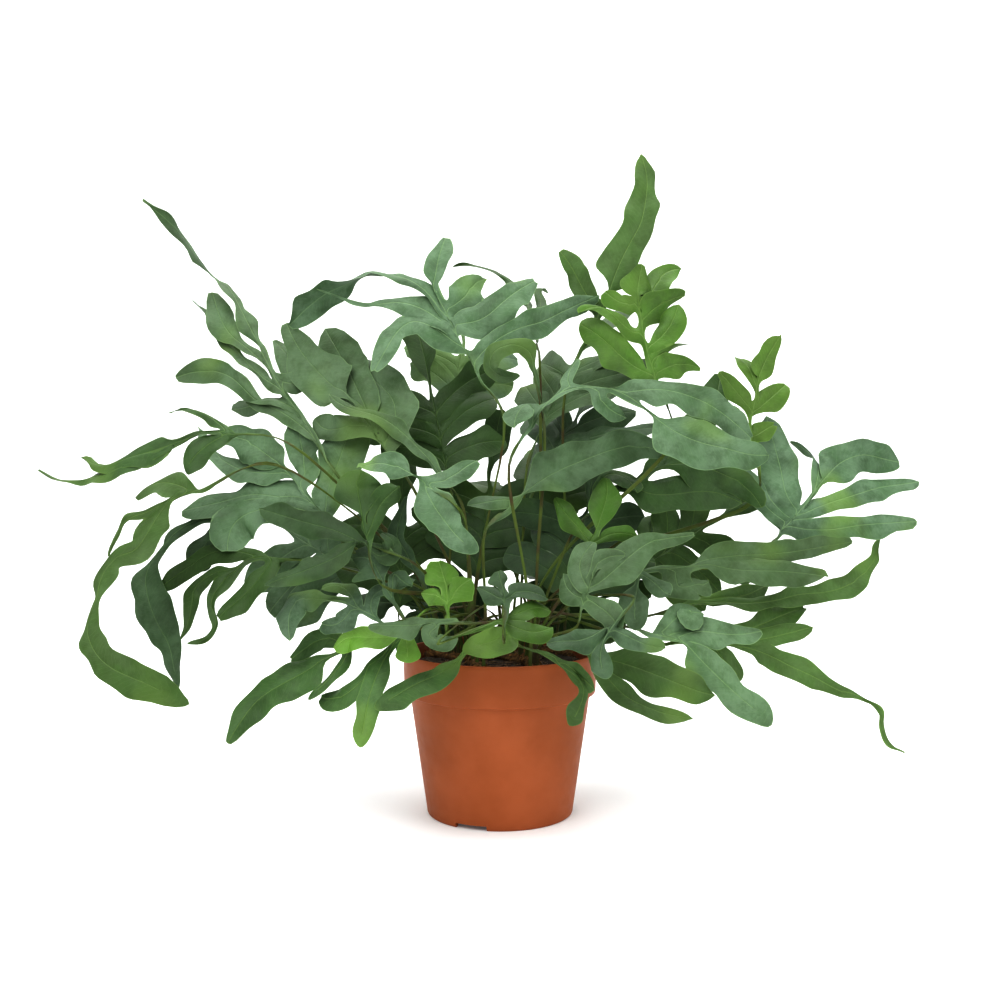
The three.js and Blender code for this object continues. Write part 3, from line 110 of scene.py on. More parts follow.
# The soil is roughened this far down from its top, with bumps of this many to a metre
SOIL_TOP_DEPTH = 0.02
SOIL_BUMPS = 260
# Height from which rays look down for the soil's surface
ABOVE_SOIL = 0.2
# Crumbs: how far out they lie, their radii, how flat they are and how rough
CRUMB_REACH = 0.086
CRUMB_SIZES = (0.0009, 0.0026)
CRUMB_FLATNESS = 0.7
CRUMB_ROUGHNESS = 0.35
# Fine roots: how far out they start and may reach, their points and the steps between them, the
# turn at each step, their height over the soil with its spread, their radius and its spread
ROOT_STARTS = (0.02, 0.078)
ROOT_REACH = 0.085
ROOT_POINTS = 9
ROOT_STEP = 0.0045
ROOT_TURN = 0.7
ROOT_LIFT = 0.0004
ROOT_LIFTS = (-0.0006, 0.0012)
ROOT_RADIUS = 0.00042
ROOT_WIDTHS = (0.6, 1.2)
# A root is a curve of this order and needs as many points
ROOT_ORDER = 4
# Scales grow on the rhizome's faces above this height. Their lengths, and as shares of them half
# the width and the heights of middle and tip. The foot's width is a share of the width
SCALES_ABOVE = 0.1465
SCALE_LENGTHS = (0.0022, 0.0042)
SCALE_WIDTH = 0.3
SCALE_MIDDLE = 0.2
SCALE_TIP = 0.42
SCALE_FOOT = 0.6
SCALE_SPREAD = 0.9
SCALE_THICKNESS = 0.00012

# The camera: where it is, how far it looks down, its lens and its sensor's width
EYE = (0, -1.27, 0.37)
LOOKS_DOWN = 2.8
LENS = 46.7
SENSOR = 36
# The lamps: name, place, size, power as a share of the key light, and what they are aimed at
PLANT_MIDDLE = (0, 0, 0.3)
LAMPS = (
    ("key", (-0.9, -1.5, 2.0), 1.8, 1.0, PLANT_MIDDLE),
    ("fill", (1.7, -1.2, 1.1), 1.8, 0.42, PLANT_MIDDLE),
    ("top", (0.1, 0.5, 2.2), 1.6, 0.5, PLANT_MIDDLE),
    ("backdrop", (0.0, 0.55, 2.6), 2.4, 0.9, (0.0, 2.2, 0.9)),
)
WORLD_STRENGTH = 0.6
VIEW_GAMMA = 0.75
# The floor runs back flat, bends up through a quarter circle and ends as a wall
FLOOR_FRONT = -4.0
BEND_START = 1.2
BEND_RADIUS = 1.0
BEND_STEPS = 12
WALL_TOP = 4.0
FLOOR_HALF_WIDTH = 5

# Painted light and shade of the fronds, a factor on each one's colour: painted shade for fronds
# deep inside the plant and for shaded ones, painted light on well lit ones together with their
# real wax, and painted light on a bright young one together with its young colour. All others
# have the middle value. Each frond's own draw changes it by up to the last share
SHADED_DEEP_INSIDE = 0.5
SHADED = 0.66
MIDDLE = 0.98
LIT_AND_WAXY = 1.26
LIT_AND_YOUNG = 1.7
OWN_SHARE = 0.25
FROND_PAINTED_LIGHT = {
    "frond_inner_1": SHADED_DEEP_INSIDE,
    "frond_inner_2": SHADED_DEEP_INSIDE,
    "frond_young_front_middle": SHADED_DEEP_INSIDE,
    "frond_young_front_right": SHADED,
    "frond_thin_behind_top": SHADED,
    "frond_lime_three_lobed": SHADED,
    "frond_left_blue_square": SHADED,
    "frond_curly_young": SHADED,
    "frond_left_dark_pair": SHADED,
    "frond_left_dark_centre": SHADED,
    "frond_left_strap": SHADED,
    "frond_hanging_left_blue": SHADED,
    "frond_back_4": SHADED,
    "frond_inner_3": SHADED,
    "frond_inner_4": SHADED,
    "frond_low_left": SHADED,
    "frond_low_right": SHADED,
    "frond_top_centre": LIT_AND_WAXY,
    "frond_arching_light": LIT_AND_WAXY,
    "frond_right_broad": LIT_AND_WAXY,
    "frond_left_palmate": LIT_AND_WAXY,
    "frond_tall": LIT_AND_WAXY,
    "frond_rim_left": LIT_AND_WAXY,
    "frond_light_maple": LIT_AND_WAXY,
    "frond_lower_right_pointed": LIT_AND_WAXY,
    "frond_hanging_left_cross": LIT_AND_WAXY,
    "frond_left_blue_pointed": LIT_AND_WAXY,
    "frond_lower_right_olive": LIT_AND_WAXY,
    "frond_lower_left_olive": LIT_AND_WAXY,
    "frond_right_wavy_narrow": LIT_AND_WAXY,
    "frond_right_palmate": LIT_AND_WAXY,
    "frond_lime_left": LIT_AND_YOUNG,
}

# Random numbers come from these seeds, so that each run gives the same scene
SEED_SOIL = 11
SEED_ROOTS = 23
SEED_SCALES = 37
SEED_WAVES = 5


class PotSettings(bpy.types.PropertyGroup):
    rim_radius: FloatProperty(
        name="Rim radius",
        description="Outer radius of the pot's rim",
        default=(POT_HIGH.x - POT_LOW.x) / 2,
        unit="LENGTH",
    )
    height: FloatProperty(
        name="Height",
        description="Height of the pot",
        default=POT_HIGH.z,
        unit="LENGTH",
    )
    color: FloatVectorProperty(
        name="Plastic",
        description="Colour of the moulded plastic",
        subtype="COLOR",
        default=(0.32, 0.09, 0.025),
        min=0,
        max=1,
    )


class SoilSettings(bpy.types.PropertyGroup):
    grain: FloatProperty(
        name="Grain",
        description="Height of the unevenness of the soil's surface",
        default=0.0011,
        unit="LENGTH",
    )
    crumbs: IntProperty(
        name="Crumbs",
        description="Number of loose crumbs on the soil",
        default=420,
    )
    roots: IntProperty(
        name="Roots",
        description="Number of fine roots that lie on the soil",
        default=70,
    )
    color: FloatVectorProperty(
        name="Soil",
        description="Colour of the moist soil",
        subtype="COLOR",
        default=(0.028, 0.018, 0.011),
        min=0,
        max=1,
    )


class RhizomeSettings(bpy.types.PropertyGroup):
    scales: IntProperty(
        name="Scales",
        description="Number of papery scales on the rhizome",
        default=900,
    )
    color: FloatVectorProperty(
        name="Scale",
        description="Colour of the scales",
        subtype="COLOR",
        default=(0.36, 0.19, 0.06),
        min=0,
        max=1,
    )


class FrondSettings(bpy.types.PropertyGroup):
    wave: FloatProperty(
        name="Wave",
        description="How far the margins wave",
        default=0.0056,
        unit="LENGTH",
    )
    wave_length: FloatProperty(
        name="Wave length",
        description="Distance from one wave of a margin to the next",
        default=0.025,
        unit="LENGTH",
    )
    vein_spacing: FloatProperty(
        name="Vein spacing",
        description="Distance from one side vein to the next",
        default=0.0052,
        unit="LENGTH",
    )
    bloom: FloatProperty(
        name="Bloom",
        description="How much of a blue frond the pale wax covers",
        default=0.62,
        subtype="FACTOR",
        min=0,
        max=1,
    )


class StageSettings(bpy.types.PropertyGroup):
    floor: FloatVectorProperty(
        name="Floor",
        description="Colour of the floor and the backdrop",
        subtype="COLOR",
        default=(0.9, 0.9, 0.9),
        min=0,
        max=1,
    )
    key_power: FloatProperty(
        name="Key light",
        description="Power of the key lamp, in front on the left, which the other lamps follow",
        default=47,
        unit="POWER",
    )


# Meshes


def activate(obj):
    bpy.ops.object.select_all(action="DESELECT")
    obj.select_set(True)
    bpy.context.view_layer.objects.active = obj


def apply_modifier(obj, name):
    activate(obj)
    bpy.ops.object.modifier_apply(modifier=name)


def new_object(name, vertices, faces, edges=()):
    mesh = bpy.data.meshes.new(name)
    mesh.from_pydata(vertices, edges, faces)
    mesh.update()
    obj = bpy.data.objects.new(name, mesh)
    bpy.context.scene.collection.objects.link(obj)
    return obj


def shade_smooth(obj):
    obj.data.polygons.foreach_set("use_smooth", [True] * len(obj.data.polygons))


def positions(mesh):
    flat = np.empty(len(mesh.vertices) * 3)
    mesh.vertices.foreach_get("co", flat)
    return flat.reshape(-1, 3)


def set_positions(mesh, places):
    mesh.vertices.foreach_set("co", np.asarray(places, dtype=float).ravel())
    mesh.update()


def set_attribute(mesh, name, values):
    attribute = mesh.attributes.get(name) or mesh.attributes.new(name, "FLOAT", "POINT")
    attribute.data.foreach_set("value", np.asarray(values, dtype=np.float32))


def get_attribute(mesh, name):
    attribute = mesh.attributes[name]
    values = np.empty(len(attribute.data), dtype=np.float32)
    attribute.data.foreach_get("value", values)
    return values


def welded(node):
    """A CAD node's corners and triangles, with the corners that coincide made one."""
    mesh = NODES[node].data
    places = positions(mesh)
    keys = np.round(places / WELD).astype(np.int64)
    _, first, index = np.unique(keys, axis=0, return_index=True, return_inverse=True)
    index = index.ravel()
    triangles = []
    mesh.calc_loop_triangles()
    for triangle in mesh.loop_triangles:
        corners = tuple(int(index[i]) for i in triangle.vertices)
        if len(set(corners)) == 3:
            triangles.append(corners)
    return places[first], triangles


# Fronds


def edge_key(a, b):
    return (a, b) if a < b else (b, a)


def triangle_edges(triangle):
    a, b, c = triangle
    return edge_key(a, b), edge_key(b, c), edge_key(c, a)


def read_frond(places, triangles):
    """A frond's triangles beside each edge, the middles of its two faces, and its margins.

    The middles are pairs of corners along the ribs. One is on the upper face and the other right
    below it on the under face, and no edge joins them.
    """
    near = {i: set() for i in range(len(places))}
    beside = {}
    for i, triangle in enumerate(triangles):
        for edge in triangle_edges(triangle):
            near[edge[0]].add(edge[1])
            near[edge[1]].add(edge[0])
            beside.setdefault(edge, []).append(i)
    gaps = np.linalg.norm(places[:, None] - places[None], axis=2)
    close = {}
    for i, j in zip(*np.nonzero(gaps < RACHIS_THICKNESS + RACHIS_SLACK)):
        i, j = int(i), int(j)
        if i < j and j not in near[i]:
            close[(i, j)] = float(gaps[i, j])
    taken = set()
    for (i, j), gap in sorted(close.items(), key=lambda item: item[1]):
        shared = near[i] & near[j]
        nearer = any(close.get((a, b), 1) < gap for a in shared for b in shared if a < b)
        if len(shared) >= 2 and not nearer and i not in taken and j not in taken:
            taken.update((i, j))
    groups = []
    left = set(taken)
    while left:
        start = left.pop()
        group = {start}
        queue = [start]
        while queue:
            for other in near[queue.pop()]:
                if other in left:
                    left.remove(other)
                    group.add(other)
                    queue.append(other)
        groups.append(group)
    groups.sort(key=len, reverse=True)
    keel = {n for n in near if n not in taken and not near[n] & taken}
    stalk_end = {n for n in near if n not in taken and near[n] & keel}

    def contacts(group):
        return len({n for v in group for n in near[v] if n in stalk_end})

    under, upper = sorted(groups[:2], key=contacts, reverse=True)
    margins = set()
    for edge, faces in beside.items():
        if len(faces) != 2 or edge[0] in taken or edge[1] in taken:
            continue
        thirds = [next(v for v in triangles[i] if v not in edge) for i in faces]
        if all(sum(t in side for t in thirds) == 1 for side in (upper, under)):
            margins.add(edge)
    return beside, upper, under, margins


def rib_tree(places, triangles, middles, margins):
    """The shortest ways from a blade's foot along the middles of one face, out to each tip."""
    neighbours = {v: {} for v in middles}
    around = {v: set() for v in middles}
    on_margin = {v for edge in margins for v in edge}
    for triangle in triangles:
        for a, b in triangle_edges(triangle):
            if a in middles and b in middles:
                length = float(np.linalg.norm(places[a] - places[b]))
                neighbours[a][b] = neighbours[b][a] = length
            elif a in middles and b in on_margin:
                around[a].add(b)
            elif b in middles and a in on_margin:
                around[b].add(a)
    start = min(middles, key=lambda v: float(np.hypot(*places[v][:2])) + 2 * places[v][2])
    reach = {start: 0.0}
    came = {}
    waiting = {start}
    while waiting:
        here = min(waiting, key=reach.get)
        waiting.remove(here)
        for other, length in neighbours[here].items():
            if reach[here] + length < reach.get(other, FAR_AWAY) - TINY:
                reach[other] = reach[here] + length
                came[other] = here
                waiting.add(other)
    edges = {edge_key(a, b) for a, b in came.items()}
    for end in set(came) - set(came.values()):
        last = places[end] - places[came[end]]
        if around[end]:
            tip = max(around[end], key=lambda v: float((places[v] - places[end]) @ last))
            edges.add(edge_key(end, tip))
            reach[tip] = reach[end] + float(np.linalg.norm(places[tip] - places[end]))
    return edges, reach


def nearest_on(points, starts, ends, values_a, values_b):
    """Distance from each point to the nearest of the segments, and the value there."""
    best = np.full(len(points), FAR_AWAY)
    value = np.zeros(len(points))
    run = ends - starts
    size = np.maximum((run * run).sum(1), 1e-12)
    for i in range(len(starts)):
        share = np.clip(((points - starts[i]) @ run[i]) / size[i], 0, 1)
        gap = np.linalg.norm(points - starts[i] - share[:, None] * run[i], axis=1)
        nearer = gap < best
        best[nearer] = gap[nearer]
        value[nearer] = values_a[i] + (values_b[i] - values_a[i]) * share[nearer]
    return best, value


def frond_piece(node, settings, order):
    """The fine frond that stands for a node: its frame smoothed, with waved margins."""
    places, triangles = welded(node)
    beside, upper, under, margins = read_frond(places, triangles)
    ribs = set()
    reach = {}
    for middles in (upper, under):
        edges, distances = rib_tree(places, triangles, middles, margins)
        ribs |= edges
        reach.update(distances)
    blade = upper | under | {v for edge in margins for v in edge}

    def length(edge):
        return float(np.linalg.norm(places[edge[0]] - places[edge[1]]))

    diagonals = set()
    for edge, faces in beside.items():
        if len(faces) != 2 or edge in margins or edge in ribs:
            continue
        own = length(edge)
        others = [other for i in faces for other in triangle_edges(triangles[i])]
        if all(own >= length(other) - TINY for other in others):
            diagonals.add(edge)

    mesh = bpy.data.meshes.new(node + "_fine")
    mesh.from_pydata(places.tolist(), [], triangles)
    sides = [1 if any(v in under for v in triangle) else 0 for triangle in triangles]
    mesh.polygons.foreach_set("material_index", sides)
    build = bmesh.new()
    build.from_mesh(mesh)
    build.verts.ensure_lookup_table()
    crease = build.edges.layers.float.new("crease_edge")
    rib_layer = build.edges.layers.float.new("rib")
    margin_layer = build.edges.layers.float.new("margin")
    reach_layer = build.verts.layers.float.new("reach")
    stem_layer = build.verts.layers.float.new("stem")
    for vertex in build.verts:
        vertex[reach_layer] = reach.get(vertex.index, 0.0)
        vertex[stem_layer] = 0.0 if vertex.index in blade else 1.0
    removed = []
    for edge in build.edges:
        key = edge_key(edge.verts[0].index, edge.verts[1].index)
        if key in margins:
            edge[crease] = 1.0
            edge[margin_layer] = 1.0
        if key in ribs:
            edge[rib_layer] = 1.0
        if key in diagonals:
            removed.append(edge)
    for edge in removed:
        if edge.is_valid:
            bmesh.ops.dissolve_edges(build, edges=[edge], use_verts=False)
    build.to_mesh(mesh)
    build.free()
    obj = bpy.data.objects.new(node + "_fine", mesh)
    bpy.context.scene.collection.objects.link(obj)

    levels = 2
    smooth = obj.modifiers.new("Smooth", "SUBSURF")
    smooth.levels = levels
    smooth.render_levels = levels
    smooth.boundary_smooth = "ALL"
    wanted = positions(mesh)
    cage = wanted.copy()
    for _ in range(FIT_ROUNDS):
        shown = obj.evaluated_get(bpy.context.evaluated_depsgraph_get())
        reached = positions(shown.data)[: len(wanted)]
        cage += wanted - reached
        set_positions(mesh, cage)
        bpy.context.view_layer.update()
    apply_modifier(obj, "Smooth")
    finish_frond(obj, node, settings, order)
    return obj


def painted_light_of_frond(node, order):
    """Painted shade or light of a frond, from its place in the plant and a small draw of its own.
    """
    own = noise.noise(Vector((order * 1.7, 0.3, 0.9))) * OWN_SHARE
    return FROND_PAINTED_LIGHT.get(node, MIDDLE) * (1 + own)


def finish_frond(obj, node, settings, order):
    """Keep a frond's distances from midribs and margins as attributes, and wave its margins."""
    mesh = obj.data
    points = positions(mesh)
    pairs = np.empty(len(mesh.edges) * 2, dtype=np.int32)
    mesh.edges.foreach_get("vertices", pairs)
    pairs = pairs.reshape(-1, 2)
    rib = pairs[get_attribute(mesh, "rib") > 0.5]
    margin = pairs[get_attribute(mesh, "margin") > 0.5]
    reach = get_attribute(mesh, "reach")
    stem = get_attribute(mesh, "stem")
    far = np.full(len(points), NO_LINE_NEAR)
    rib_gap, along = far, far * 0
    if len(rib):
        starts, ends = rib[:, 0], rib[:, 1]
        values = reach[starts], reach[ends]
        rib_gap, along = nearest_on(points, points[starts], points[ends], *values)
    margin_gap = far
    if len(margin):
        starts, ends = margin[:, 0], margin[:, 1]
        none = np.zeros(len(margin))
        margin_gap, _ = nearest_on(points, points[starts], points[ends], none, none)
    across = rib_gap / (rib_gap + margin_gap + 1e-6)
    across[stem > 0.5] = 0
    waved = points.copy()
    offset = Vector((order * 0.37, order * 0.11, 0))
    scale = 1 / settings.wave_length
    for i in np.nonzero(across > WAVE_START)[0]:
        push = noise.noise_vector(Vector(points[i]) * scale + offset)
        waved[i] += np.array(push) * settings.wave * across[i] ** WAVE_POWER
    set_positions(mesh, waved)
    set_attribute(mesh, "rib_gap", rib_gap)
    set_attribute(mesh, "margin_gap", margin_gap)
    set_attribute(mesh, "along", along)
    set_attribute(mesh, "stem", stem)
    # Painted shade and light of the frond: one factor on the colour of all its corners
    set_attribute(mesh, "shade", np.full(len(points), painted_light_of_frond(node, order)))
    warmth = noise.noise(Vector((order * 2.3, 0.7, 0.1)))
    set_attribute(mesh, "warmth", np.full(len(points), warmth))
    edges_at_margin = get_attribute(mesh, "margin") > 0.5
    sharp = mesh.attributes.new("sharp_edge", "BOOLEAN", "EDGE")
    sharp.data.foreach_set("value", edges_at_margin)
    for name in ("rib", "margin", "reach", "crease_edge"):
        if name in mesh.attributes:
            mesh.attributes.remove(mesh.attributes[name])
    shade_smooth(obj)


# Materials


def new_material(name):
    material = bpy.data.materials.new(name)
    material.use_nodes = True
    tree = material.node_tree
    shader = tree.nodes["Principled BSDF"]
    return material, tree, shader


class Nodes:
    """Short calls that add and join shader nodes."""

    def __init__(self, tree):
        self.tree = tree

    def add(self, kind, **values):
        node = self.tree.nodes.new(kind)
        for key, value in values.items():
            setattr(node, key, value)
        return node

    def put(self, value, socket):
        if isinstance(value, bpy.types.NodeSocket):
            self.tree.links.new(value, socket)
        else:
            socket.default_value = value

    def math(self, operation, first, second=0.0, clamp=False):
        node = self.add("ShaderNodeMath", operation=operation, use_clamp=clamp)
        self.put(first, node.inputs[0])
        self.put(second, node.inputs[1])
        return node.outputs[0]

    def ramp(self, value, low, high, out_low=0.0, out_high=1.0, smooth=True):
        node = self.add("ShaderNodeMapRange")
        node.interpolation_type = "SMOOTHSTEP" if smooth else "LINEAR"
        self.put(value, node.inputs["Value"])
        self.put(low, node.inputs["From Min"])
        self.put(high, node.inputs["From Max"])
        self.put(out_low, node.inputs["To Min"])
        self.put(out_high, node.inputs["To Max"])
        return node.outputs[0]

    def mix(self, share, first, second, blend="MIX"):
        node = self.add("ShaderNodeMix", data_type="RGBA", blend_type=blend)
        self.put(share, node.inputs["Factor"])
        self.put(first, node.inputs[6])
        self.put(second, node.inputs[7])
        return node.outputs[2]

    def noise(self, place, scale, detail=4.0, rough=0.55):
        node = self.add("ShaderNodeTexNoise")
        self.put(place, node.inputs["Vector"])
        self.put(scale, node.inputs["Scale"])
        node.inputs["Detail"].default_value = detail
        node.inputs["Roughness"].default_value = rough
        return node.outputs[0]

    def object_place(self):
        return self.add("ShaderNodeTexCoord").outputs["Object"]

    def attribute(self, name):
        return self.add("ShaderNodeAttribute", attribute_name=name).outputs["Fac"]

    def bump(self, height, strength, distance, normal=None):
        node = self.add("ShaderNodeBump")
        self.put(height, node.inputs["Height"])
        node.inputs["Strength"].default_value = strength
        node.inputs["Distance"].default_value = distance
        if normal is not None:
            self.put(normal, node.inputs["Normal"])
        return node.outputs[0]


def color(red, green, blue):
    return (red, green, blue, 1.0)


def new_group(name, inputs, outputs):
    group = bpy.data.node_groups.new(name, "ShaderNodeTree")
    for label, kind in inputs:
        group.interface.new_socket(label, in_out="INPUT", socket_type=kind)
    for label, kind in outputs:
        group.interface.new_socket(label, in_out="OUTPUT", socket_type=kind)
    start = group.nodes.new("NodeGroupInput")
    end = group.nodes.new("NodeGroupOutput")
    return group, Nodes(group), start, end


def vein_group(spacing):
    """Lines of the midribs and side veins from the distances kept in the mesh."""
    outputs = [(name, "NodeSocketFloat") for name in ("Midrib", "Veins", "Margin")]
    group, n, _, end = new_group("Veins", [], outputs)
    gap = n.attribute("rib_gap")
    along = n.attribute("along")
    margin = n.attribute("margin_gap")
    blade = n.math("SUBTRACT", 1.0, n.attribute("stem"), clamp=True)
    midrib = n.math("MULTIPLY", n.ramp(gap, *LINE_EDGES), blade)
    wobble = n.math("MULTIPLY", n.noise(n.object_place(), 160.0, 2.0), 0.006)
    lean = n.math("ADD", n.math("MULTIPLY", gap, -VEIN_LEAN), wobble)
    turns = n.math("DIVIDE", n.math("ADD", along, lean), spacing)
    saw = n.math("PINGPONG", turns, 0.5)
    lines = n.ramp(saw, 0.1, 0.0)
    fade = n.ramp(margin, *VEIN_EDGES)
    veins = n.math("MULTIPLY", n.math("MULTIPLY", lines, fade), blade)
    n.put(midrib, end.inputs["Midrib"])
    n.put(veins, end.inputs["Veins"])
    n.put(n.math("MULTIPLY", n.ramp(margin, *LINE_EDGES), blade), end.inputs["Margin"])
    return group


def bloom_group():
    """Pale wax that lies in soft clouds and is wiped off in small patches."""
    inputs = [("Amount", "NodeSocketFloat")]
    group, n, start, end = new_group("Wax bloom", inputs, [("Bloom", "NodeSocketFloat")])
    place = n.object_place()
    clouds = n.ramp(n.noise(place, 24.0, 5.0, 0.6), 0.32, 0.64)
    wiped = n.ramp(n.noise(place, 72.0, 5.0, 0.66), 0.34, 0.58, 0.5, 1.0)
    both = n.math("MULTIPLY", n.math("ADD", n.math("MULTIPLY", clouds, 0.6), 0.4), wiped)
    n.put(n.math("MULTIPLY", both, start.outputs["Amount"], clamp=True), end.inputs["Bloom"])
    return group


# Colours of the leaves by tone: fresh green, wax, underside, veins and how much wax lies on them
LEAF_TONES = {
    "leaf_blue": {
        "fresh": color(0.036, 0.086, 0.029),
        "wax": color(0.15, 0.225, 0.147),
        "under": color(0.095, 0.175, 0.06),
        "vein": color(0.2, 0.31, 0.14),
        "share": 1.0,
    },
    "leaf_green": {
        "fresh": color(0.042, 0.102, 0.021),
        "wax": color(0.13, 0.21, 0.092),
        "under": color(0.09, 0.18, 0.036),
        "vein": color(0.17, 0.27, 0.075),
        "share": 0.62,
    },
    "leaf_lime": {
        "fresh": color(0.075, 0.175, 0.02),
        "wax": color(0.165, 0.265, 0.075),
        "under": color(0.14, 0.26, 0.04),
        "vein": color(0.21, 0.33, 0.09),
        "share": 0.5,
    },
}


def leaf_material(slot, side, veins, bloom, amount):
    """A frond's top or under side: fresh colour, wax, lines, age, and painted shade and light by
    its place in the plant.
    """
    tone = LEAF_TONES[slot]
    material, tree, shader = new_material(f"{slot}_{side}")
    n = Nodes(tree)
    lines = n.add("ShaderNodeGroup", node_tree=veins)
    wax = n.add("ShaderNodeGroup", node_tree=bloom)
    wax.inputs["Amount"].default_value = amount * tone["share"] * (1.0 if side == "top" else 0.45)
    place = n.object_place()
    shade = n.attribute("shade")
    stem = n.attribute("stem")
    base = tone["fresh"] if side == "top" else tone["under"]
    patches = n.ramp(n.noise(place, 42.0, 4.0), 0.35, 0.65)
    darker = tuple(c * 0.6 for c in base[:3]) + (1.0,)
    shown = n.mix(patches, darker, base)
    shown = n.mix(wax.outputs["Bloom"], shown, tone["wax"])
    shown = n.mix(n.math("MULTIPLY", lines.outputs["Veins"], 0.1), shown, tone["vein"])
    shown = n.mix(n.math("MULTIPLY", lines.outputs["Midrib"], 0.34), shown, tone["vein"])
    shown = n.mix(n.math("MULTIPLY", lines.outputs["Margin"], 0.4), shown, tone["vein"])
    warm = n.ramp(n.attribute("warmth"), -0.4, 0.5, 0.0, 0.4)
    shown = n.mix(warm, shown, n.mix(0.5, shown, color(0.11, 0.17, 0.02)))
    ageing = n.ramp(n.noise(place, 11.0, 2.0, 0.4), 0.56, 0.7, 0.0, 0.48)
    shown = n.mix(ageing, shown, color(0.14, 0.235, 0.045))
    # Painted shade and light: shaded fronds are tinted greener and darkened by their factor, and
    # well lit ones are brightened
    painted_shade_tint = n.ramp(shade, 0.4, 1.0, 0.0, 1.0, smooth=False)
    shown = n.mix(1.0, shown, n.mix(painted_shade_tint, color(0.94, 1.12, 0.78), color(1, 1, 1)), "MULTIPLY")
    shown = n.mix(1.0, shown, shade, "MULTIPLY")
    browned = n.ramp(n.noise(place, 30.0, 2.0), 0.4, 0.7)
    stalk = n.mix(browned, color(0.085, 0.13, 0.02), color(0.07, 0.05, 0.018))
    shown = n.mix(stem, shown, stalk)
    n.put(shown, shader.inputs["Base Color"])
    rough = n.ramp(wax.outputs["Bloom"], 0.0, 0.7, 0.42, 0.62)
    uneven = n.math("MULTIPLY", n.noise(place, 300.0, 3.0), 0.08)
    n.put(n.math("ADD", rough, uneven), shader.inputs["Roughness"])
    hollow = -1.0 if side == "top" else 1.0
    low_veins = n.math("MULTIPLY", lines.outputs["Veins"], 0.35)
    relief = n.math("MULTIPLY", n.math("ADD", lines.outputs["Midrib"], low_veins), hollow)
    grain = n.noise(place, 700.0, 3.0)
    fold = n.math("MULTIPLY", n.attribute("rib_gap"), hollow * -0.16)
    normal = n.bump(fold, 1.0, 1.0)
    normal = n.bump(relief, 0.5, 0.0006, normal)
    normal = n.bump(grain, 0.12, 0.0004, normal)
    n.put(normal, shader.inputs["Normal"])
    shader.inputs["Specular IOR Level"].default_value = 0.3
    return material


def pot_material(base):
    """Moulded plastic with faint clouds and a little dust."""
    material, tree, shader = new_material("pot_plastic")
    n = Nodes(tree)
    place = n.object_place()
    cloud = n.ramp(n.noise(place, 18.0, 4.0), 0.3, 0.7)
    plain = tuple(base) + (1.0,)
    faded = tuple(min(1.0, c * 1.16 + 0.008) for c in base) + (1.0,)
    shown = n.mix(cloud, plain, faded)
    dust = n.ramp(n.noise(place, 260.0, 5.0, 0.7), 0.6, 0.8, 0.0, 0.1)
    shown = n.mix(dust, shown, color(0.36, 0.16, 0.1))
    n.put(shown, shader.inputs["Base Color"])
    n.put(n.ramp(n.noise(place, 90.0, 4.0), 0.3, 0.7, 0.46, 0.56), shader.inputs["Roughness"])
    fine = n.noise(place, 1400.0, 2.0)
    wide = n.noise(place, 30.0, 2.0)
    normal = n.bump(fine, 0.1, 0.0003)
    n.put(n.bump(wide, 0.08, 0.002, normal), shader.inputs["Normal"])
    shader.inputs["Specular IOR Level"].default_value = 0.22
    return material


def earth_material(name, base, light, scale):
    """A rough, spotted brown for soil, crumbs, roots, the rhizome and its scales."""
    material, tree, shader = new_material(name)
    n = Nodes(tree)
    place = n.object_place()
    spots = n.ramp(n.noise(place, scale, 6.0, 0.7), 0.35, 0.7)
    shown = n.mix(spots, base, light)
    fleck = n.ramp(n.noise(place, scale * 4, 3.0), 0.62, 0.7)
    shown = n.mix(n.math("MULTIPLY", fleck, 0.5), shown, color(0.16, 0.11, 0.06))
    n.put(shown, shader.inputs["Base Color"])
    shader.inputs["Roughness"].default_value = 0.88
    n.put(n.bump(n.noise(place, scale * 2, 6.0, 0.75), 0.7, 0.0012), shader.inputs["Normal"])
    return material


def give(obj, *materials):
    obj.data.materials.clear()
    for material in materials:
        obj.data.materials.append(material)


# Operators


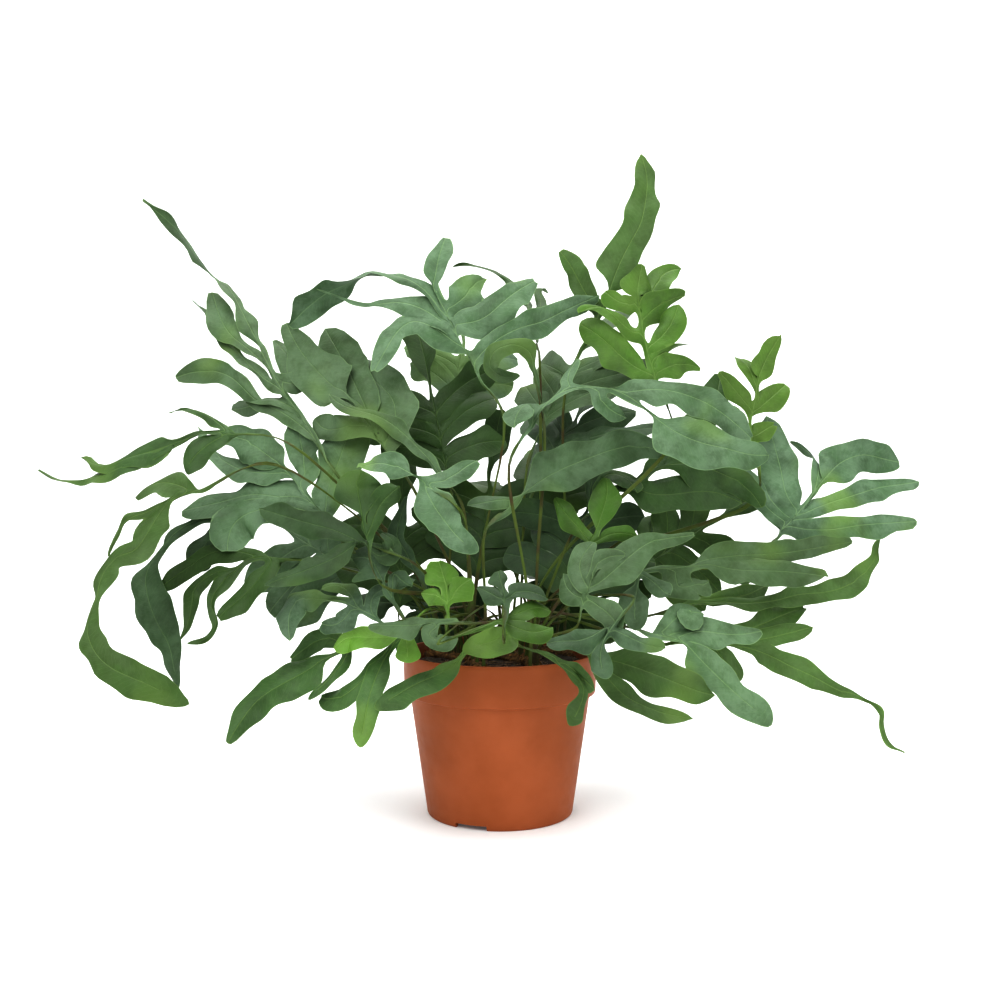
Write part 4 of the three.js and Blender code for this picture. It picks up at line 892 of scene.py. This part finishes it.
class FERN_OT_pot(bpy.types.Operator):
    """Turn the pot from its profile and cut its foot notches and drain holes"""

    bl_idname = "fern.pot"
    bl_label = "Pot"

    def execute(self, context):
        settings = context.scene.fern_pot
        rim = settings.rim_radius
        top = settings.height
        ledge = top - BAND_HEIGHT
        foot = FOOT_RADIUS
        shoulder = SHOULDER_RADIUS
        profile = [
            (0.0, 0.0052),
            (0.030, 0.0052),
            (0.060, 0.0052),
            (foot - 0.0062, 0.005),
            (foot - 0.0054, 0.0006),
            (foot - 0.0048, 0.0001),
            (foot - 0.0012, 0.0001),
            (foot - 0.0003, 0.0008),
            (foot + 0.0004, 0.0024),
            (foot + 0.0008, 0.006),
            (foot + (shoulder - foot) * 0.25, ledge * 0.25),
            (foot + (shoulder - foot) * 0.5, ledge * 0.5),
            (foot + (shoulder - foot) * 0.75, ledge * 0.75),
            (shoulder - 0.0006, ledge - 0.004),
            (shoulder - 0.0002, ledge - 0.0006),
            (shoulder + 0.0008, ledge + 0.0006),
            (rim - 0.0022, ledge + 0.0010),
            (rim - 0.0013, ledge + 0.0016),
            (rim - 0.0009, ledge + 0.0032),
            (rim - 0.0006, ledge + 0.014),
            (rim - 0.0003, ledge + 0.027),
            (rim - 0.0001, top - 0.0045),
            (rim, top - 0.0028),
            (rim - 0.0004, top - 0.0009),
            (rim - 0.0013, top - 0.0001),
            (rim - 0.0022, top - 0.0006),
            (rim - 0.0028, top - 0.0020),
            (rim - 0.0036, top - 0.012),
            (shoulder - 0.0016, ledge + 0.002),
            (shoulder - 0.0028, ledge - 0.02),
            (foot - 0.0018, 0.0085),
            (foot - 0.0032, 0.0070),
            (0.040, 0.0068),
            (0.0, 0.0068),
        ]
        points = [(radius, 0.0, height) for radius, height in profile]
        edges = [(i, i + 1) for i in range(len(points) - 1)]
        pot = new_object("pot_fine", points, [], edges)
        turn = pot.modifiers.new("Turn", "SCREW")
        turn.axis = "Z"
        turn.angle = math.tau
        turn.steps = POT_STEPS
        turn.render_steps = POT_STEPS
        turn.use_merge_vertices = True
        turn.merge_threshold = 1e-5
        turn.use_normal_calculate = True
        apply_modifier(pot, "Turn")
        bpy.ops.object.mode_set(mode="EDIT")
        bpy.ops.mesh.select_all(action="SELECT")
        bpy.ops.mesh.remove_doubles(threshold=1e-6)
        bpy.ops.mesh.normals_make_consistent(inside=False)
        bpy.ops.object.mode_set(mode="OBJECT")
        cutters = []
        for i in range(NOTCHES):
            angle = math.radians(FIRST_NOTCH + 360 // NOTCHES * i)
            bpy.ops.mesh.primitive_cube_add(size=1, rotation=(0, 0, angle))
            cutter = context.object
            cutter.scale = NOTCH_SIZE
            cutter.location = (foot * math.cos(angle), foot * math.sin(angle), NOTCH_MIDDLE)
            bpy.ops.object.transform_apply(location=True, rotation=True, scale=True)
            cutters.append(cutter)
        for i in range(HOLES):
            angle = i * math.tau / HOLES
            bpy.ops.mesh.primitive_cylinder_add(
                vertices=24,
                radius=HOLE_RADIUS,
                depth=0.02,
                rotation=(0, 0, HOLE_TURN),
            )
            cutter = context.object
            x, y = HOLE_CIRCLE * math.cos(angle), HOLE_CIRCLE * math.sin(angle)
            cutter.location = (x, y, HOLE_MIDDLE)
            bpy.ops.object.transform_apply(location=True, rotation=True, scale=True)
            cutters.append(cutter)
        for cutter in cutters:
            cut = pot.modifiers.new("Cut", "BOOLEAN")
            cut.operation = "DIFFERENCE"
            cut.solver = "EXACT"
            cut.object = cutter
            apply_modifier(pot, "Cut")
            bpy.data.objects.remove(cutter)
        activate(pot)
        bpy.ops.object.shade_smooth_by_angle(angle=math.radians(POT_SMOOTH_ANGLE))
        give(pot, pot_material(settings.color))
        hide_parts("pot")
        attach(pot, "root")
        return {"FINISHED"}


def remeshed(node, name, voxel, rounds):
    """A copy of a node in even small faces, slightly smoothed."""
    places, triangles = welded(node)
    obj = new_object(name, places.tolist(), triangles)
    remesh = obj.modifiers.new("Remesh", "REMESH")
    remesh.mode = "VOXEL"
    remesh.voxel_size = voxel
    apply_modifier(obj, "Remesh")
    smooth = obj.modifiers.new("Smooth", "SMOOTH")
    smooth.factor = 0.5
    smooth.iterations = rounds
    apply_modifier(obj, "Smooth")
    shade_smooth(obj)
    return obj


class FERN_OT_soil(bpy.types.Operator):
    """Roughen the soil and strew it with crumbs and fine roots"""

    bl_idname = "fern.soil"
    bl_label = "Soil"

    def execute(self, context):
        settings = context.scene.fern_soil
        base = tuple(settings.color) + (1.0,)
        soil = remeshed("soil", "soil_fine", SOIL_VOXEL, 1)
        points = positions(soil.data)
        level = points[:, 2].max()
        for i in range(len(points)):
            if points[i][2] > level - SOIL_TOP_DEPTH:
                place = Vector(points[i])
                lift = noise.fractal(place * SOIL_BUMPS, 0.8, 2.1, 4)
                points[i][2] += lift * settings.grain
        set_positions(soil.data, points)
        give(soil, earth_material("soil", base, color(0.075, 0.05, 0.03), 260.0))
        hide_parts("soil")
        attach(soil, "root")
        self.crumbs(soil, settings, base)
        self.roots(soil, settings)
        return {"FINISHED"}

    def crumbs(self, soil, settings, base):
        source = np.random.default_rng(SEED_SOIL)
        build = bmesh.new()
        for _ in range(settings.crumbs):
            angle = source.uniform(0, math.tau)
            away = CRUMB_REACH * math.sqrt(source.uniform(0.02, 1))
            place = Vector((away * math.cos(angle), away * math.sin(angle), ABOVE_SOIL))
            hit, spot, _, _ = soil.ray_cast(place, Vector((0, 0, -1)))
            if not hit:
                continue
            size = source.uniform(*CRUMB_SIZES)
            made = bmesh.ops.create_icosphere(build, subdivisions=1, radius=size)["verts"]
            for vertex in made:
                wobble = noise.noise(vertex.co * 900 + spot * 300) * CRUMB_ROUGHNESS + 1
                x, y, z = vertex.co
                z *= CRUMB_FLATNESS
                vertex.co = Vector((x * wobble, y * wobble, z * wobble)) + spot
        mesh = bpy.data.meshes.new("soil_crumbs")
        build.to_mesh(mesh)
        build.free()
        crumbs = bpy.data.objects.new("soil_crumbs", mesh)
        bpy.context.scene.collection.objects.link(crumbs)
        shade_smooth(crumbs)
        give(crumbs, earth_material("soil_crumb", base, color(0.11, 0.075, 0.045), 400.0))
        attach(crumbs, "root")

    def roots(self, soil, settings):
        source = np.random.default_rng(SEED_ROOTS)
        curve = bpy.data.curves.new("fine_roots", "CURVE")
        curve.dimensions = "3D"
        curve.bevel_depth = ROOT_RADIUS
        curve.bevel_resolution = 1
        curve.use_fill_caps = True
        for _ in range(settings.roots):
            angle = source.uniform(0, math.tau)
            away = source.uniform(*ROOT_STARTS)
            here = Vector((away * math.cos(angle), away * math.sin(angle), 0))
            heading = source.uniform(0, math.tau)
            path = []
            for _ in range(ROOT_POINTS):
                above = Vector((here.x, here.y, ABOVE_SOIL))
                hit, spot, _, _ = soil.ray_cast(above, Vector((0, 0, -1)))
                if not hit or here.xy.length > ROOT_REACH:
                    break
                lift = ROOT_LIFT + source.uniform(*ROOT_LIFTS)
                path.append(spot + Vector((0, 0, lift)))
                heading += source.uniform(-ROOT_TURN, ROOT_TURN)
                here += Vector((math.cos(heading), math.sin(heading), 0)) * ROOT_STEP
            if len(path) < ROOT_ORDER:
                continue
            line = curve.splines.new("NURBS")
            line.points.add(len(path) - 1)
            for point, spot in zip(line.points, path):
                point.co = (*spot, 1)
                point.radius = source.uniform(*ROOT_WIDTHS)
            line.use_endpoint_u = True
            line.order_u = ROOT_ORDER
        roots = bpy.data.objects.new("fine_roots", curve)
        bpy.context.scene.collection.objects.link(roots)
        activate(roots)
        bpy.ops.object.convert(target="MESH")
        roots = bpy.context.object
        shade_smooth(roots)
        dark, light = color(0.12, 0.07, 0.035), color(0.3, 0.2, 0.11)
        give(roots, earth_material("root", dark, light, 500.0))
        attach(roots, "root")


class FERN_OT_rhizome(bpy.types.Operator):
    """Smooth the creeping rhizome and cover it with papery scales"""

    bl_idname = "fern.rhizome"
    bl_label = "Rhizome"

    def execute(self, context):
        settings = context.scene.fern_rhizome
        rhizome = remeshed("rhizome", "rhizome_fine", RHIZOME_VOXEL, 3)
        dark, light = color(0.09, 0.05, 0.018), color(0.26, 0.15, 0.05)
        give(rhizome, earth_material("rhizome_skin", dark, light, 330.0))
        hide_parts("rhizome")
        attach(rhizome, "root")
        source = np.random.default_rng(SEED_SCALES)
        faces_up = [p for p in rhizome.data.polygons if p.normal.z > -0.1]
        polygons = [p for p in faces_up if p.center.z > SCALES_ABOVE]
        count = min(settings.scales, len(polygons))
        chosen = source.choice(len(polygons), size=count, replace=False)
        vertices = []
        faces = []
        for index in chosen:
            polygon = polygons[int(index)]
            normal = polygon.normal
            out = Vector((polygon.center.x, polygon.center.y, 0)).normalized()
            lean = (out + Vector(source.uniform(-SCALE_SPREAD, SCALE_SPREAD, 3))).normalized()
            along = (lean - normal * lean.dot(normal)).normalized()
            side = normal.cross(along)
            long = source.uniform(*SCALE_LENGTHS)
            wide = long * SCALE_WIDTH
            root = polygon.center + normal * 0.0001
            first = len(vertices)
            vertices += [
                root - side * wide * SCALE_FOOT,
                root + side * wide * SCALE_FOOT,
                root + along * long * 0.5 + side * wide + normal * long * SCALE_MIDDLE,
                root + along * long * 0.5 - side * wide + normal * long * SCALE_MIDDLE,
                root + along * long + normal * long * SCALE_TIP,
            ]
            faces.append((first, first + 1, first + 2, first + 3))
            faces.append((first + 3, first + 2, first + 4))
        scales = new_object("rhizome_scales", vertices, faces)
        thick = scales.modifiers.new("Thick", "SOLIDIFY")
        thick.thickness = SCALE_THICKNESS
        apply_modifier(scales, "Thick")
        base = tuple(settings.color) + (1.0,)
        darker = tuple(c * 0.5 for c in settings.color) + (1.0,)
        give(scales, earth_material("scale", darker, base, 250.0))
        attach(scales, "root")
        return {"FINISHED"}


class FERN_OT_fronds(bpy.types.Operator):
    """Smooth every frond, wave its margins and give it its veins and wax"""

    bl_idname = "fern.fronds"
    bl_label = "Fronds"

    def execute(self, context):
        settings = context.scene.fern_fronds
        noise.seed_set(SEED_WAVES)
        veins = vein_group(settings.vein_spacing)
        bloom = bloom_group()
        leaves = {}
        for slot in LEAF_TONES:
            top = leaf_material(slot, "top", veins, bloom, settings.bloom)
            under = leaf_material(slot, "under", veins, bloom, settings.bloom)
            leaves[slot] = (top, under)
        for order, node in enumerate(FRONDS):
            piece = frond_piece(node, settings, order)
            give(piece, *leaves[SLOTS[node]])
            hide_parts(node)
            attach(piece, "root")
        return {"FINISHED"}


class FERN_OT_stage(bpy.types.Operator):
    """Set the camera, the pale floor and the studio lights"""

    bl_idname = "fern.stage"
    bl_label = "Stage"

    def execute(self, context):
        settings = context.scene.fern_stage
        scene = context.scene
        camera_data = bpy.data.cameras.new("camera")
        camera_data.sensor_width = SENSOR
        camera_data.lens = LENS
        camera = bpy.data.objects.new("camera", camera_data)
        camera.location = EYE
        camera.rotation_euler = (math.radians(90 - LOOKS_DOWN), 0, 0)
        scene.collection.objects.link(camera)
        scene.camera = camera
        self.floor(settings)
        for name, place, size, share, target in LAMPS:
            self.lamp(name, place, size, settings.key_power * share, target)
        world = bpy.data.worlds.new("studio")
        world.use_nodes = True
        background = world.node_tree.nodes["Background"]
        background.inputs["Color"].default_value = color(1, 1, 1)
        background.inputs["Strength"].default_value = WORLD_STRENGTH
        scene.world = world
        scene.view_settings.view_transform = "Standard"
        scene.view_settings.gamma = VIEW_GAMMA
        return {"FINISHED"}

    def floor(self, settings):
        """The pale floor, bent up into a backdrop, with a faint glow that softens the shadows."""
        profile = [(FLOOR_FRONT, 0.0), (BEND_START, 0.0)]
        for step in range(1, BEND_STEPS + 1):
            angle = step / BEND_STEPS * math.pi / 2
            across = BEND_RADIUS * math.sin(angle)
            up = BEND_RADIUS * (1 - math.cos(angle))
            profile.append((BEND_START + across, up))
        profile.append((BEND_START + BEND_RADIUS, WALL_TOP))
        vertices = []
        faces = []
        for y, z in profile:
            vertices += [(-FLOOR_HALF_WIDTH, y, z), (FLOOR_HALF_WIDTH, y, z)]
        for i in range(len(profile) - 1):
            faces.append((2 * i, 2 * i + 1, 2 * i + 3, 2 * i + 2))
        floor = new_object("floor", vertices, faces)
        shade_smooth(floor)
        material, tree, shader = new_material("floor")
        n = Nodes(tree)
        place = n.object_place()
        tint = n.ramp(n.noise(place, 2.0, 2.0), 0.2, 0.8)
        base = tuple(settings.floor) + (1.0,)
        paler = tuple(min(1.0, c * 1.03) for c in settings.floor) + (1.0,)
        n.put(n.mix(tint, base, paler), shader.inputs["Base Color"])
        shader.inputs["Roughness"].default_value = 0.9
        shader.inputs["Specular IOR Level"].default_value = 0.1
        shader.inputs["Emission Color"].default_value = color(0.7, 0.9, 1.0)
        shader.inputs["Emission Strength"].default_value = 0.08
        give(floor, material)

    def lamp(self, name, place, size, power, target):
        """A square lamp that is aimed at its target."""
        data = bpy.data.lights.new(name, "AREA")
        data.energy = power
        data.size = size
        lamp = bpy.data.objects.new(name, data)
        lamp.location = place
        aim = Vector(target) - Vector(place)
        lamp.rotation_euler = aim.to_track_quat("-Z", "Y").to_euler()
        bpy.context.scene.collection.objects.link(lamp)


class FERN_PT_panel(bpy.types.Panel):
    bl_idname = "FERN_PT_panel"
    bl_label = "Potted fern"
    bl_space_type = "VIEW_3D"
    bl_region_type = "UI"
    bl_category = "Fern"

    def draw(self, context):
        groups = (
            (context.scene.fern_pot, FERN_OT_pot),
            (context.scene.fern_soil, FERN_OT_soil),
            (context.scene.fern_rhizome, FERN_OT_rhizome),
            (context.scene.fern_fronds, FERN_OT_fronds),
            (context.scene.fern_stage, FERN_OT_stage),
        )
        for settings, operator in groups:
            box = self.layout.box()
            for name in settings.__annotations__:
                box.prop(settings, name)
            box.operator(operator.bl_idname)


CLASSES = (
    PotSettings,
    SoilSettings,
    RhizomeSettings,
    FrondSettings,
    StageSettings,
    FERN_OT_pot,
    FERN_OT_soil,
    FERN_OT_rhizome,
    FERN_OT_fronds,
    FERN_OT_stage,
    FERN_PT_panel,
)


def register():
    for cls in CLASSES:
        bpy.utils.register_class(cls)
    bpy.types.Scene.fern_pot = PointerProperty(type=PotSettings)
    bpy.types.Scene.fern_soil = PointerProperty(type=SoilSettings)
    bpy.types.Scene.fern_rhizome = PointerProperty(type=RhizomeSettings)
    bpy.types.Scene.fern_fronds = PointerProperty(type=FrondSettings)
    bpy.types.Scene.fern_stage = PointerProperty(type=StageSettings)


def unregister():
    for name in ("fern_stage", "fern_fronds", "fern_rhizome", "fern_soil", "fern_pot"):
        delattr(bpy.types.Scene, name)
    for cls in reversed(CLASSES):
        bpy.utils.unregister_class(cls)


def main():
    register()
    bpy.ops.fern.stage()
    bpy.ops.fern.pot()
    bpy.ops.fern.soil()
    bpy.ops.fern.rhizome()
    bpy.ops.fern.fronds()


if __name__ == "__main__":
    main()
